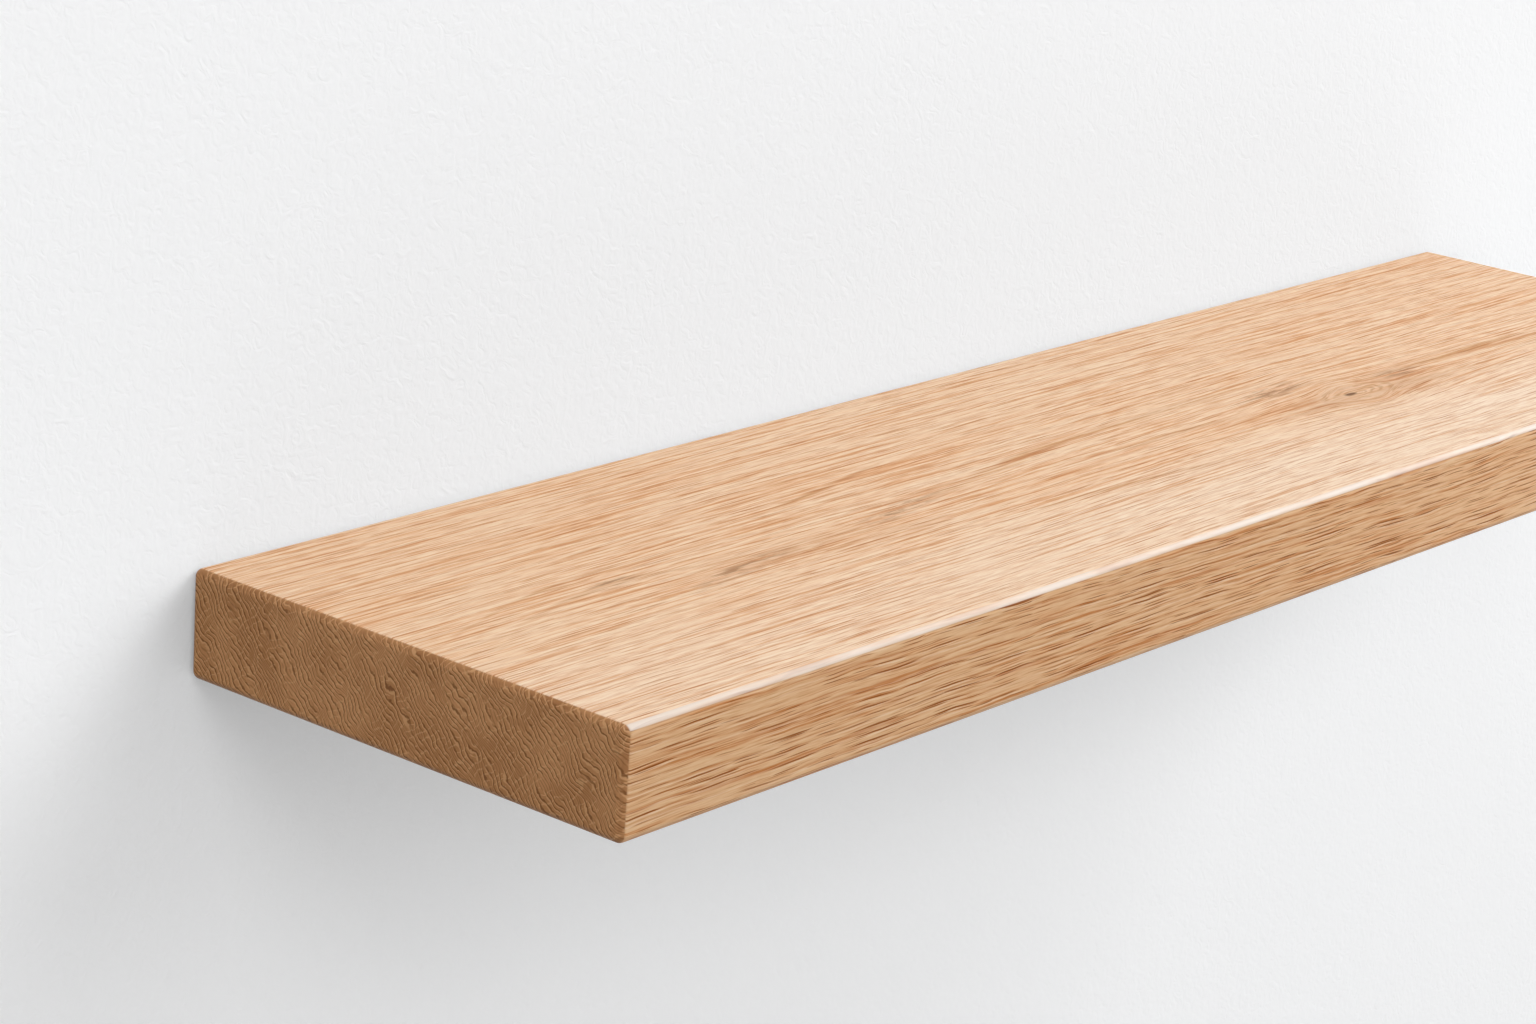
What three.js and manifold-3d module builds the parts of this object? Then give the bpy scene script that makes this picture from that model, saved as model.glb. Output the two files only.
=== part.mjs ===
// Floating wall shelf: one solid oak board pushed on to the rods of a steel bracket that it hides.
// Lengths are in millimetres. The wall's face is the plane y = 0, the board reaches into the room along -Y,
// +X runs along the board and +Z is up. The origin is the middle of the bracket bar's back, on the wall.
import * as THREE from "three";
import { RoundedBoxGeometry } from "three/addons/geometries/RoundedBoxGeometry.js";
import { mergeVertices } from "three/addons/utils/BufferGeometryUtils.js";
import Module from "manifold-3d";

// Board: a plank with every edge and corner rounded alike.
const BOARD_LENGTH = 800;
const BOARD_DEPTH = 200;
const BOARD_THICKNESS = 40;
const BOARD_EDGE_RADIUS = 3;
const BOARD_EDGE_STEPS = 3;

// Bracket bar: flat steel that lies on the wall and ends short of the board, so that the board hides it.
const BAR_END_MARGIN = 50;
const BAR_HEIGHT = 25;
const BAR_THICKNESS = 5;
const BAR_CORNER_RADIUS = 2;

// Rods: round steel welded square to the bar, one in the middle and one near each end of the bar.
const ROD_DIAMETER = 12;
const ROD_LENGTH = 150;
const ROD_END_MARGIN = 100;
const ROD_TIP_CHAMFER = 1.5;
const WELD_LEG = 3;

// Wall screws: pan head, on a washer, one near each end of the bar and one midway between two rods.
const SCREW_DIAMETER = 5;
const SCREW_LENGTH = 60;
const SCREW_POINT_LENGTH = 7;
const SCREW_END_MARGIN = 25;
const HEAD_DIAMETER = 9.5;
const HEAD_HEIGHT = 3.8;
const HEAD_RIM_HEIGHT = 1.4;
const RECESS_SPAN = 4.6;
const RECESS_WIDTH = 1.1;
const RECESS_DEPTH = 2.2;
const WASHER_DIAMETER = 15;
const WASHER_THICKNESS = 1.2;
const SCREW_HOLE_CLEARANCE = 0.4;
const SLOT_TRAVEL = 6;

// Wall plugs: nylon sleeves that the screws spread, sunk past the plaster's face.
const PLUG_DIAMETER = 8;
const PLUG_LENGTH = 40;
const PLUG_SINK = 3;
const PLUG_BORE_CLEARANCE = 0.3;
const PLUG_NOSE_LENGTH = 4;
const PLUG_NOSE_TAPER = 0.8;

// Rebate and bores in the board's back.
const REBATE_SIDE_CLEARANCE = 0.75;
const REBATE_END_CLEARANCE = 6;
const REBATE_CORNER_RADIUS = 6;
const REBATE_HEAD_CLEARANCE = 2;
const ROD_BORE_CLEARANCE = 0.25;
const ROD_BORE_END_CLEARANCE = 8;
const ROD_BORE_POINT_DEPTH = 3;
const ROD_BORE_LEAD_IN = 1;

// Lock screws: they rise through brass inserts in the underside and press on the outer rods.
const LOCK_SETBACK = 45;
const LOCK_SCREW_DIAMETER = 6;
const LOCK_SCREW_LENGTH = 10;
const LOCK_SCREW_CHAMFER = 0.8;
const LOCK_SCREW_GAP = 0.3;
const SOCKET_ACROSS_CORNERS = 3.46;
const SOCKET_DEPTH = 4;
const INSERT_DIAMETER = 9;
const INSERT_LENGTH = 10;
const INSERT_SINK = 0.5;
const INSERT_CHAMFER = 0.6;
const INSERT_THREAD_CLEARANCE = 0.2;
const INSERT_HOLE_CLEARANCE = 0.2;
const LOCK_HOLE_CLEARANCE = 0.5;

// How far a cutting shape runs past the face that it opens.
const CUT_OVERRUN = 4;

// Facets around each kind of round piece.
const ROD_FACETS = 32;
const SCREW_FACETS = 20;
const WASHER_FACETS = 28;
const LOCK_FACETS = 24;
const CURVE_STEPS = 4;
const HEXAGON = 6;

const OAK = { color: 0xdcb48c, roughness: 0.55, metalness: 0 };
const BRACKET_STEEL = { color: 0x2b2c2e, roughness: 0.5, metalness: 0.6 };
const ZINC_STEEL = { color: 0xb9bcbf, roughness: 0.35, metalness: 1 };
const NYLON = { color: 0x9a9da0, roughness: 0.55, metalness: 0 };
const BRASS = { color: 0xc9a24a, roughness: 0.3, metalness: 1 };
const DARK_STEEL = { color: 0x1f2022, roughness: 0.4, metalness: 0.8 };

const rodRadius = ROD_DIAMETER / 2;
const screwRadius = SCREW_DIAMETER / 2;
const lockRadius = LOCK_SCREW_DIAMETER / 2;
const insertRadius = INSERT_DIAMETER / 2;
const barLength = BOARD_LENGTH - 2 * BAR_END_MARGIN;
const rodSpacing = barLength / 2 - ROD_END_MARGIN;
const rodPlaces = { left: -rodSpacing, middle: 0, right: rodSpacing };
const lockPlaces = { left: rodPlaces.left, right: rodPlaces.right };
const outerScrewX = barLength / 2 - SCREW_END_MARGIN;
const innerScrewX = rodSpacing / 2;
const screwPlaces = [-outerScrewX, -innerScrewX, innerScrewX, outerScrewX];
const rebateDepth = BAR_THICKNESS + WASHER_THICKNESS + HEAD_HEIGHT + REBATE_HEAD_CLEARANCE;
const underside = -BOARD_THICKNESS / 2;

const wasm = await Module();
wasm.setup();

// A closed geometry as a solid that can be cut.
function solidOf(geometry) {
  const bare = geometry.clone();
  bare.deleteAttribute("normal");
  bare.deleteAttribute("uv");
  const merged = mergeVertices(bare);
  const vertProperties = merged.getAttribute("position").array;
  const triVerts = new Uint32Array(merged.index.array);
  return new wasm.Manifold(new wasm.Mesh({ numProp: 3, vertProperties, triVerts }));
}

// The geometry with each cutting shape taken away.
function cutAway(geometry, cutters) {
  let body = solidOf(geometry);
  for (const cutter of cutters) {
    body = body.subtract(solidOf(cutter));
  }
  const { vertProperties, triVerts } = body.getMesh();
  const result = new THREE.BufferGeometry();
  result.setAttribute("position", new THREE.BufferAttribute(vertProperties, 3));
  result.setIndex(new THREE.BufferAttribute(triVerts, 1));
  result.computeVertexNormals();
  return result;
}

// A solid of revolution about the local Y axis, from a path of [radius, y] steps with y rising outside.
function turned(path, facets) {
  return new THREE.LatheGeometry(path.getPoints(CURVE_STEPS), facets);
}

function pathThrough(points) {
  const path = new THREE.Path();
  path.moveTo(...points[0]);
  points.slice(1).forEach((point) => path.lineTo(...point));
  return path;
}

// A ring with a plain bore, from y = 0 to its height.
function ring(innerRadius, outerRadius, height, facets) {
  const corners = [
    [innerRadius, 0],
    [outerRadius, 0],
    [outerRadius, height],
    [innerRadius, height],
    [innerRadius, 0],
  ];
  return turned(pathThrough(corners), facets);
}

// A rectangle with rounded corners, centred, in the local XY plane.
function roundedOutline(length, height, radius) {
  const outline = new THREE.Shape();
  const x = length / 2 - radius;
  const y = height / 2 - radius;
  outline.absarc(x, y, radius, 0, Math.PI / 2);
  outline.absarc(-x, y, radius, Math.PI / 2, Math.PI);
  outline.absarc(-x, -y, radius, Math.PI, 1.5 * Math.PI);
  outline.absarc(x, -y, radius, 1.5 * Math.PI, 2 * Math.PI);
  return outline;
}

// An outline in XY given a thickness, then stood up so that the thickness runs along -Y.
function standingPlate(outline, thickness) {
  const plate = new THREE.ExtrudeGeometry(outline, {
    depth: thickness,
    bevelEnabled: false,
    curveSegments: CURVE_STEPS,
  });
  return plate.rotateX(Math.PI / 2);
}

function piece(name, geometry, finish) {
  const mesh = new THREE.Mesh(geometry, new THREE.MeshStandardMaterial(finish));
  mesh.name = name;
  return mesh;
}

// Board

function rebateCutter() {
  const length = barLength + 2 * REBATE_END_CLEARANCE;
  const height = BAR_HEIGHT + 2 * REBATE_SIDE_CLEARANCE;
  const outline = roundedOutline(length, height, REBATE_CORNER_RADIUS);
  return standingPlate(outline, rebateDepth + CUT_OVERRUN).translate(0, CUT_OVERRUN, 0);
}

// A blind bore with a drilled point and a small lead-in where it meets the rebate's floor.
function rodBoreCutter(x) {
  const radius = rodRadius + ROD_BORE_CLEARANCE;
  const bottom = -(BAR_THICKNESS + ROD_LENGTH + ROD_BORE_END_CLEARANCE);
  const mouth = -rebateDepth;
  const path = pathThrough([
    [0, bottom - ROD_BORE_POINT_DEPTH],
    [radius, bottom],
    [radius, mouth - ROD_BORE_LEAD_IN],
    [radius + ROD_BORE_LEAD_IN, mouth],
    [radius + ROD_BORE_LEAD_IN, mouth + CUT_OVERRUN],
    [0, mouth + CUT_OVERRUN],
  ]);
  return turned(path, ROD_FACETS).translate(x, 0, 0);
}

// A stepped hole from the underside: wide for the insert, then narrow for the screw, up into the rod's bore.
function lockHoleCutter(x) {
  const insertTop = underside + INSERT_SINK + INSERT_LENGTH;
  const wide = insertRadius + INSERT_HOLE_CLEARANCE;
  const narrow = lockRadius + LOCK_HOLE_CLEARANCE;
  const path = pathThrough([
    [0, underside - CUT_OVERRUN],
    [wide, underside - CUT_OVERRUN],
    [wide, insertTop],
    [narrow, insertTop],
    [narrow, 0],
    [0, 0],
  ]);
  return turned(path, LOCK_FACETS).rotateX(Math.PI / 2).translate(x, -LOCK_SETBACK, 0);
}

function oakBoard() {
  const plank = new RoundedBoxGeometry(
    BOARD_LENGTH,
    BOARD_DEPTH,
    BOARD_THICKNESS,
    BOARD_EDGE_STEPS,
    BOARD_EDGE_RADIUS,
  );
  plank.translate(0, -BOARD_DEPTH / 2, 0);
  const cutters = [
    rebateCutter(),
    ...Object.values(rodPlaces).map(rodBoreCutter),
    ...Object.values(lockPlaces).map(lockHoleCutter),
  ];
  return piece("oak_board", cutAway(plank, cutters), OAK);
}

// Bracket

// The outer holes are slots, so that the bar can be levelled before its screws are tightened.
function bracketBar() {
  const outline = roundedOutline(barLength, BAR_HEIGHT, BAR_CORNER_RADIUS);
  const holeSize = SCREW_DIAMETER + 2 * SCREW_HOLE_CLEARANCE;
  for (const x of screwPlaces) {
    const travel = Math.abs(x) === outerScrewX ? SLOT_TRAVEL : 0;
    const hole = new THREE.Path();
    hole.absarc(x + travel / 2, 0, holeSize / 2, -Math.PI / 2, Math.PI / 2);
    hole.absarc(x - travel / 2, 0, holeSize / 2, Math.PI / 2, 1.5 * Math.PI);
    outline.holes.push(hole);
  }
  return piece("bracket_bar", standingPlate(outline, BAR_THICKNESS), BRACKET_STEEL);
}

// A rod with a chamfered tip at -Y and a hollow weld fillet round its foot at y = 0.
function bracketRod(side) {
  const path = pathThrough([
    [0, -ROD_LENGTH],
    [rodRadius - ROD_TIP_CHAMFER, -ROD_LENGTH],
    [rodRadius, -ROD_LENGTH + ROD_TIP_CHAMFER],
    [rodRadius, -WELD_LEG],
  ]);
  path.absarc(rodRadius + WELD_LEG, -WELD_LEG, WELD_LEG, Math.PI, Math.PI / 2, true);
  path.lineTo(0, 0);
  return piece(`bracket_rod_${side}`, turned(path, ROD_FACETS), BRACKET_STEEL);
}

// A pan head below y = 0 and a shank above it, with a cross recess in the head.
function wallScrew(number) {
  const path = new THREE.Path();
  const crown = HEAD_HEIGHT - HEAD_RIM_HEIGHT;
  path.absellipse(0, -HEAD_RIM_HEIGHT, HEAD_DIAMETER / 2, crown, -Math.PI / 2, 0);
  path.lineTo(HEAD_DIAMETER / 2, 0);
  path.lineTo(screwRadius, 0);
  path.lineTo(screwRadius, SCREW_LENGTH - SCREW_POINT_LENGTH);
  path.lineTo(0, SCREW_LENGTH);
  const wings = [0, Math.PI / 2].map((turn) => {
    const wing = new THREE.BoxGeometry(RECESS_SPAN, 2 * RECESS_DEPTH, RECESS_WIDTH);
    return wing.rotateY(turn).translate(0, -HEAD_HEIGHT, 0);
  });
  return piece(`wall_screw_${number}`, cutAway(turned(path, SCREW_FACETS), wings), ZINC_STEEL);
}

function wallWasher(number) {
  const hole = screwRadius + SCREW_HOLE_CLEARANCE;
  const washer = ring(hole, WASHER_DIAMETER / 2, WASHER_THICKNESS, WASHER_FACETS);
  return piece(`wall_washer_${number}`, washer, ZINC_STEEL);
}

// A sleeve open at both ends, its far end drawn in to a blunt nose.
function wallPlug(number) {
  const bore = screwRadius + PLUG_BORE_CLEARANCE;
  const outside = PLUG_DIAMETER / 2;
  const path = pathThrough([
    [bore, 0],
    [outside, 0],
    [outside, PLUG_LENGTH - PLUG_NOSE_LENGTH],
    [outside - PLUG_NOSE_TAPER, PLUG_LENGTH],
    [bore, PLUG_LENGTH],
    [bore, 0],
  ]);
  return piece(`wall_plug_${number}`, turned(path, SCREW_FACETS), NYLON);
}

// Locking pieces, each with its local Y axis turned up to +Z

function lockInsert(side) {
  const bore = lockRadius + INSERT_THREAD_CLEARANCE;
  const path = pathThrough([
    [bore + INSERT_CHAMFER, 0],
    [insertRadius, 0],
    [insertRadius, INSERT_LENGTH - INSERT_CHAMFER],
    [insertRadius - INSERT_CHAMFER, INSERT_LENGTH],
    [bore, INSERT_LENGTH],
    [bore, INSERT_CHAMFER],
    [bore + INSERT_CHAMFER, 0],
  ]);
  return piece(`lock_insert_${side}`, turned(path, LOCK_FACETS), BRASS);
}

// A headless screw with a hexagon socket in its lower end and a flat, chamfered point above.
function lockScrew(side) {
  const path = pathThrough([
    [0, 0],
    [lockRadius - LOCK_SCREW_CHAMFER, 0],
    [lockRadius, LOCK_SCREW_CHAMFER],
    [lockRadius, LOCK_SCREW_LENGTH - LOCK_SCREW_CHAMFER],
    [lockRadius - LOCK_SCREW_CHAMFER, LOCK_SCREW_LENGTH],
    [0, LOCK_SCREW_LENGTH],
  ]);
  const socketRadius = SOCKET_ACROSS_CORNERS / 2;
  const socket = new THREE.CylinderGeometry(socketRadius, socketRadius, 2 * SOCKET_DEPTH, HEXAGON);
  return piece(`lock_screw_${side}`, cutAway(turned(path, LOCK_FACETS), [socket]), DARK_STEEL);
}

// Assembly

function bracket() {
  const group = new THREE.Group();
  group.add(bracketBar());
  for (const [side, x] of Object.entries(rodPlaces)) {
    const rod = bracketRod(side);
    rod.position.set(x, -BAR_THICKNESS, 0);
    group.add(rod);
  }
  screwPlaces.forEach((x, index) => {
    const number = index + 1;
    const fastening = new THREE.Group();
    const washer = wallWasher(number);
    const screw = wallScrew(number);
    const plug = wallPlug(number);
    washer.position.y = -BAR_THICKNESS - WASHER_THICKNESS;
    screw.position.y = -BAR_THICKNESS - WASHER_THICKNESS;
    plug.position.y = PLUG_SINK;
    fastening.add(washer, screw, plug);
    fastening.position.x = x;
    group.add(fastening);
  });
  return group;
}

function board() {
  const group = new THREE.Group();
  group.add(oakBoard());
  for (const [side, x] of Object.entries(lockPlaces)) {
    const lock = new THREE.Group();
    const insert = lockInsert(side);
    const screw = lockScrew(side);
    insert.position.y = underside + INSERT_SINK;
    screw.position.y = -rodRadius - LOCK_SCREW_GAP - LOCK_SCREW_LENGTH;
    lock.add(insert, screw);
    lock.rotation.x = Math.PI / 2;
    lock.position.set(x, -LOCK_SETBACK, 0);
    group.add(lock);
  }
  return group;
}

const shelf = new THREE.Group();
shelf.add(bracket(), board());

export default shelf;
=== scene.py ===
# %% [markdown]
# The object is a floating wall shelf: a thick oak board that seems to stand out of the wall by itself.
# A steel bracket hides inside it: a flat bar screwed to the wall, with three round rods welded on, and
# the board is pushed on to the rods. The construction is loaded first, as a fixed frame of real sizes,
# and every piece made here takes its place from that frame, so nothing has to be fitted afterwards.

import math
from functools import partial

import bmesh
import bpy
from mathutils import Matrix, Vector


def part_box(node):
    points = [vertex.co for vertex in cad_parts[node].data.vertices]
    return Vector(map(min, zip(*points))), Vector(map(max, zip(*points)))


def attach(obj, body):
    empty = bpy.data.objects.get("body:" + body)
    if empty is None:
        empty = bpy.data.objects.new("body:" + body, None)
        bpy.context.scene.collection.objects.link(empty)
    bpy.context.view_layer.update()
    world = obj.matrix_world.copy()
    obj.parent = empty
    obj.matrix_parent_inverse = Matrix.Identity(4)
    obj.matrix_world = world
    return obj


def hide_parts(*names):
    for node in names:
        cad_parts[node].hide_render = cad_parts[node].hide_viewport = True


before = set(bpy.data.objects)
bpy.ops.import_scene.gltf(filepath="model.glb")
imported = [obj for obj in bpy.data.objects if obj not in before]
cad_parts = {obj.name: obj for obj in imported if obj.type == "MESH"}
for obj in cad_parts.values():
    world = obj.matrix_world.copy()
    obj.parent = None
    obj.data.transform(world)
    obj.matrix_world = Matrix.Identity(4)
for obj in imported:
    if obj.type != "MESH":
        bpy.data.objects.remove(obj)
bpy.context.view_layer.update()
MM = 0.001

# %% [markdown]
# The photograph looks at the left front corner of the board from a little above, through a long lens,
# and the board runs out of the picture on the right. The board's straight edges fix where the camera
# stood: each edge's slope in the picture depends on the camera's place, turn and lens, and the values
# below make all of them agree. The camera is also tilted a few degrees, because its picture is.

# %% Camera
CAMERA_PLACE = (-1.2740, -0.9632, 0.4499)
CAMERA_YAW = math.radians(50.794)
CAMERA_PITCH = math.radians(17.112)
CAMERA_ROLL = math.radians(3.986)
CAMERA_LENS_MM = 93.483
SENSOR_WIDTH_MM = 36.0
QUARTER_TURN = math.radians(90)


def linked_object(name, data):
    item = bpy.data.objects.new(name, data)
    bpy.context.scene.collection.objects.link(item)
    return item


camera_data = bpy.data.cameras.new("camera")
camera_data.lens = CAMERA_LENS_MM
camera_data.sensor_width = SENSOR_WIDTH_MM
camera = linked_object("camera", camera_data)
camera.matrix_world = (
    Matrix.Translation(CAMERA_PLACE)
    @ Matrix.Rotation(-CAMERA_YAW, 4, "Z")
    @ Matrix.Rotation(QUARTER_TURN - CAMERA_PITCH, 4, "X")
    @ Matrix.Rotation(CAMERA_ROLL, 4, "Z")
)
bpy.context.scene.camera = camera
print("camera at", CAMERA_PLACE, "with a lens of", CAMERA_LENS_MM, "mm")

# %% [markdown]
# A material is a small graph of nodes, and these helpers keep the graphs short to write. A graph is
# opened, and then each call adds a node to it and fills its inputs: a plain value is typed into the
# socket, and another node's output is linked to it. So every finish is built from the same few sums,
# ramps and mixes of colour.

# %% Helpers for shader graphs
def open_graph(node_tree):
    """All nodes go into the graph that was opened last."""
    global tree
    tree = node_tree
    tree.nodes.clear()


def add_node(kind, inputs=None, **settings):
    """Adds a node with its settings and inputs, and gives its outputs."""
    node = tree.nodes.new(kind)
    for name, value in settings.items():
        setattr(node, name, value)
    for name, value in (inputs or {}).items():
        if isinstance(value, bpy.types.NodeSocket):
            tree.links.new(value, node.inputs[name])
        else:
            node.inputs[name].default_value = value
    return node.outputs


def calc(operation, first, *others):
    """A sum on one value or two; more values are taken in one after another."""
    for second in others or (0.0,):
        first = add_node("ShaderNodeMath", {0: first, 1: second}, operation=operation)[0]
    return first


def times_plus(value, factor, more):
    return add_node("ShaderNodeMath", {0: value, 1: factor, 2: more}, operation="MULTIPLY_ADD")[0]


def vector_calc(operation, first, second=(0, 0, 0)):
    outputs = add_node("ShaderNodeVectorMath", {0: first, 1: second}, operation=operation)
    return outputs["Value" if operation in ("LENGTH", "DOT_PRODUCT") else "Vector"]


times = partial(calc, "MULTIPLY")
plus = partial(calc, "ADD")
minus = partial(calc, "SUBTRACT")
highest = partial(calc, "MAXIMUM")
stretched = partial(vector_calc, "MULTIPLY")


def parts_of(vector):
    return add_node("ShaderNodeSeparateXYZ", {0: vector})


# %% [markdown]
# With these sums come a painter's tools. A smooth step turns any number into a mask with a soft edge, a
# mix lays one colour over another as strongly as its masks say, and a bump lets light follow a relief
# that is too fine for a mesh.

# %% Masks, mixes and materials
def oval_reach(offset, half_length, half_width, depth_scale=0.0):
    """How far a point lies from an oval's middle: 1 on its edge."""
    scales = (1 / half_length, 1 / half_width, depth_scale)
    return vector_calc("LENGTH", stretched(offset, scales))


def smooth_step(value, low, high):
    """0 below low, 1 above high and a smooth rise between; low may be the larger of the two."""
    inputs = {"Value": value, "From Min": low, "From Max": high}
    return add_node("ShaderNodeMapRange", inputs, interpolation_type="SMOOTHSTEP")[0]


def mix_number(share, first, second):
    return add_node("ShaderNodeMix", {0: share, 2: first, 3: second}, data_type="FLOAT")[0]


def mix_colour(share, first, second, blend_type="MIX"):
    inputs = {0: share, 6: first, 7: second}
    return add_node("ShaderNodeMix", inputs, data_type="RGBA", blend_type=blend_type)[2]


def laid_over(colour, paint, *shares, blend_type="MIX"):
    """Paint over a colour, as strong as the product of all the shares."""
    share = times(*shares) if len(shares) > 1 else shares[0]
    return mix_colour(share, colour, paint, blend_type)


def tinted(colour, tint, *shares):
    return laid_over(colour, tint, *shares, blend_type="MULTIPLY")


def bump(height, distance, strength):
    inputs = {"Height": height, "Distance": distance, "Strength": strength}
    return add_node("ShaderNodeBump", inputs)["Normal"]


def new_material(name):
    material = bpy.data.materials.new(name)
    material.use_nodes = True
    open_graph(material.node_tree)
    return material


def add_surface(shader):
    add_node("ShaderNodeOutputMaterial", {"Surface": shader[0]})
    print("material graph with", len(tree.nodes), "nodes")


# %% [markdown]
# The stage is a pale plastered wall and a pale floor far below. The wall shows the soft shadow that the
# shelf throws, which tells the eye that the board floats. Its paper white comes from a little light of
# its own that only the camera and mirror-like rays see, so it puts no extra light on the wood. Beside
# and under whatever touches it the wall is shaded a little more, as a crevice is. From behind the
# sheet is clear, so that the screws and plugs sunk in the wall can be looked at.

# %% Paint for wall and floor
TEXTURE_STRENGTH = 0.5
ROLLER_NOISE = {"Scale": 190.0, "Detail": 3.0, "Distortion": 1.6}
CONTACT_REACH = 70 * MM
CONTACT_SHADE = 0.42
CONTACT_HEIGHTS = (25 * MM, 5 * MM)
CONTACT_SAMPLES = 8
DIMMED_FROM_TO = (0.45, 1.2)


def seen_directly():
    """1 for rays from the camera, from gloss or through glass, and 0 for light that lands on things."""
    rays = add_node("ShaderNodeLightPath")
    gloss = highest(rays["Is Glossy Ray"], rays["Is Transmission Ray"])
    return highest(rays["Is Camera Ray"], gloss)


def stage_material(name, paint, paint_seen, glow, texture_height, dimmed_share=0.0):
    """Paint gives the light that the sheet bounces, and paint_seen with the glow gives what is seen."""
    material = new_material(name)
    directly = seen_directly()
    place = add_node("ShaderNodeTexCoord")["Object"]
    parts = parts_of(place)
    texture = add_node("ShaderNodeTexNoise", {"Vector": place} | ROLLER_NOISE)["Fac"]
    normal = bump(texture, texture_height, TEXTURE_STRENGTH)
    reach = {"Distance": CONTACT_REACH}
    opening = add_node("ShaderNodeAmbientOcclusion", reach, samples=CONTACT_SAMPLES)["AO"]
    low_down = smooth_step(parts["Z"], *CONTACT_HEIGHTS)
    contact = times(minus(1.0, opening), low_down, CONTACT_SHADE)
    near_lamp = smooth_step(plus(parts["X"], parts["Z"]), *DIMMED_FROM_TO)
    dimmed = times(near_lamp, dimmed_share)
    shade = times(minus(1.0, contact), minus(1.0, dimmed))
    colour = stretched(mix_colour(directly, paint, paint_seen), shade)
    diffuse = add_node("ShaderNodeBsdfDiffuse", {"Color": colour, "Normal": normal})
    strength = times(directly, glow, shade)
    emission = add_node("ShaderNodeEmission", {"Strength": strength})
    painted = add_node("ShaderNodeAddShader", {0: diffuse[0], 1: emission[0]})
    clear = add_node("ShaderNodeBsdfTransparent")
    behind = add_node("ShaderNodeNewGeometry")["Backfacing"]
    sides = {0: behind, 1: painted[0], 2: clear[0]}
    add_surface(add_node("ShaderNodeMixShader", sides))
    return material


# %% [markdown]
# Both sheets are single large squares. A bmesh is Blender's workbench for a shape: the square is made
# there, turned and moved, and only then becomes an object. The wall is painted greyer to the right and
# high up, where a lamp stands near it. Shadow rays and diffuse rays pass through it, so it keeps no
# light from the shelf and adds none.

# %% Wall and floor
WALL_CLEARANCE = 0.5 * MM
WALL_HALF_WIDTH = 5.0
WALL_PAINT = (0.69, 0.695, 0.705, 1.0)
WALL_GLOW = 0.372
WALL_TEXTURE_HEIGHT = 0.7 * MM
WALL_DIMMED = 0.14
FLOOR_LEVEL = -1.2
FLOOR_HALF_WIDTH = 9.0
FLOOR_PAINT = (0.50, 0.50, 0.50, 1.0)
FLOOR_PAINT_SEEN = (0.13, 0.13, 0.13, 1.0)
FLOOR_GLOW = 0.80
FLOOR_TEXTURE_HEIGHT = 0.1 * MM
OUT_OF_WALL = Matrix.Rotation(QUARTER_TURN, 4, "X")


def placed(stock, placement):
    bmesh.ops.transform(stock, matrix=placement, verts=stock.verts)
    return stock


def from_stock(stock, name):
    """Turns a finished bmesh into an object of the scene."""
    mesh = bpy.data.meshes.new(name)
    stock.to_mesh(mesh)
    stock.free()
    return linked_object(name, mesh)


def stage_sheet(name, half_width, placement, material):
    sheet = bmesh.new()
    bmesh.ops.create_grid(sheet, x_segments=1, y_segments=1, size=half_width)
    stage_object = from_stock(placed(sheet, placement), name)
    stage_object.data.materials.append(material)
    return stage_object


wall_paint = stage_material(
    "wall_paint", WALL_PAINT, WALL_PAINT, WALL_GLOW, WALL_TEXTURE_HEIGHT, WALL_DIMMED
)
floor_paint = stage_material(
    "floor_paint", FLOOR_PAINT, FLOOR_PAINT_SEEN, FLOOR_GLOW, FLOOR_TEXTURE_HEIGHT
)
wall_placement = Matrix.Translation((0, WALL_CLEARANCE, 0)) @ OUT_OF_WALL
wall = stage_sheet("wall", WALL_HALF_WIDTH, wall_placement, wall_paint)
stage_sheet("floor", FLOOR_HALF_WIDTH, Matrix.Translation((0, 0, FLOOR_LEVEL)), floor_paint)
wall.visible_diffuse = False
wall.visible_shadow = False
print("stage: a wall and a floor at", FLOOR_LEVEL, "m")

# %% [markdown]
# Daylight in a pale room comes from everywhere, so a white world gives the base light. Four large soft
# boxes add the rest. The strongest stands far to the right and half high: it rakes the top, and the
# rounded front edge mirrors it as a bright line. Three weaker ones fill in from the front and from the
# left. Their directions and levels were found by working back from the shadow on the photographed wall,
# which is soft, darkest just under the board, and gone at the frame's right.

# %% Light
WORLD_LIGHT = 0.20
WORLD_SEEN = 0.93
SOFT_BOXES = {
    "key_light": (70, 33, 1.9, 0.652),
    "high_left_light": (-75, 55, 1.6, 0.312),
    "left_front_light": (-30, 25, 1.4, 0.150),
    "right_front_light": (20, 28, 1.4, 0.250),
}
BOX_DISTANCE = 3.4

world = bpy.data.worlds.new("pale_room")
world.use_nodes = True
open_graph(world.node_tree)
shown = mix_number(seen_directly(), WORLD_LIGHT, WORLD_SEEN)
backdrop = add_node("ShaderNodeBackground", {"Color": (1, 1, 1, 1), "Strength": shown})
add_node("ShaderNodeOutputWorld", {"Surface": backdrop[0]})
bpy.context.scene.world = world
bpy.context.scene.view_settings.view_transform = "Standard"


def soft_box(name, turn, height, size, level):
    """A square lamp. Turn and height are in degrees; level 1 makes a sheet facing it look white."""
    light = bpy.data.lights.new(name, "AREA")
    light.shape = "SQUARE"
    light.size = size
    light.energy = level * math.pi**2 * BOX_DISTANCE**2
    linked_object(name, light).matrix_world = (
        Matrix.Rotation(math.radians(turn), 4, "Z")
        @ Matrix.Rotation(QUARTER_TURN - math.radians(height), 4, "X")
        @ Matrix.Translation((0, 0, BOX_DISTANCE))
    )
    print("light:", name, round(light.energy), "W")


for name, row in SOFT_BOXES.items():
    soft_box(name, *row)

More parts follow.
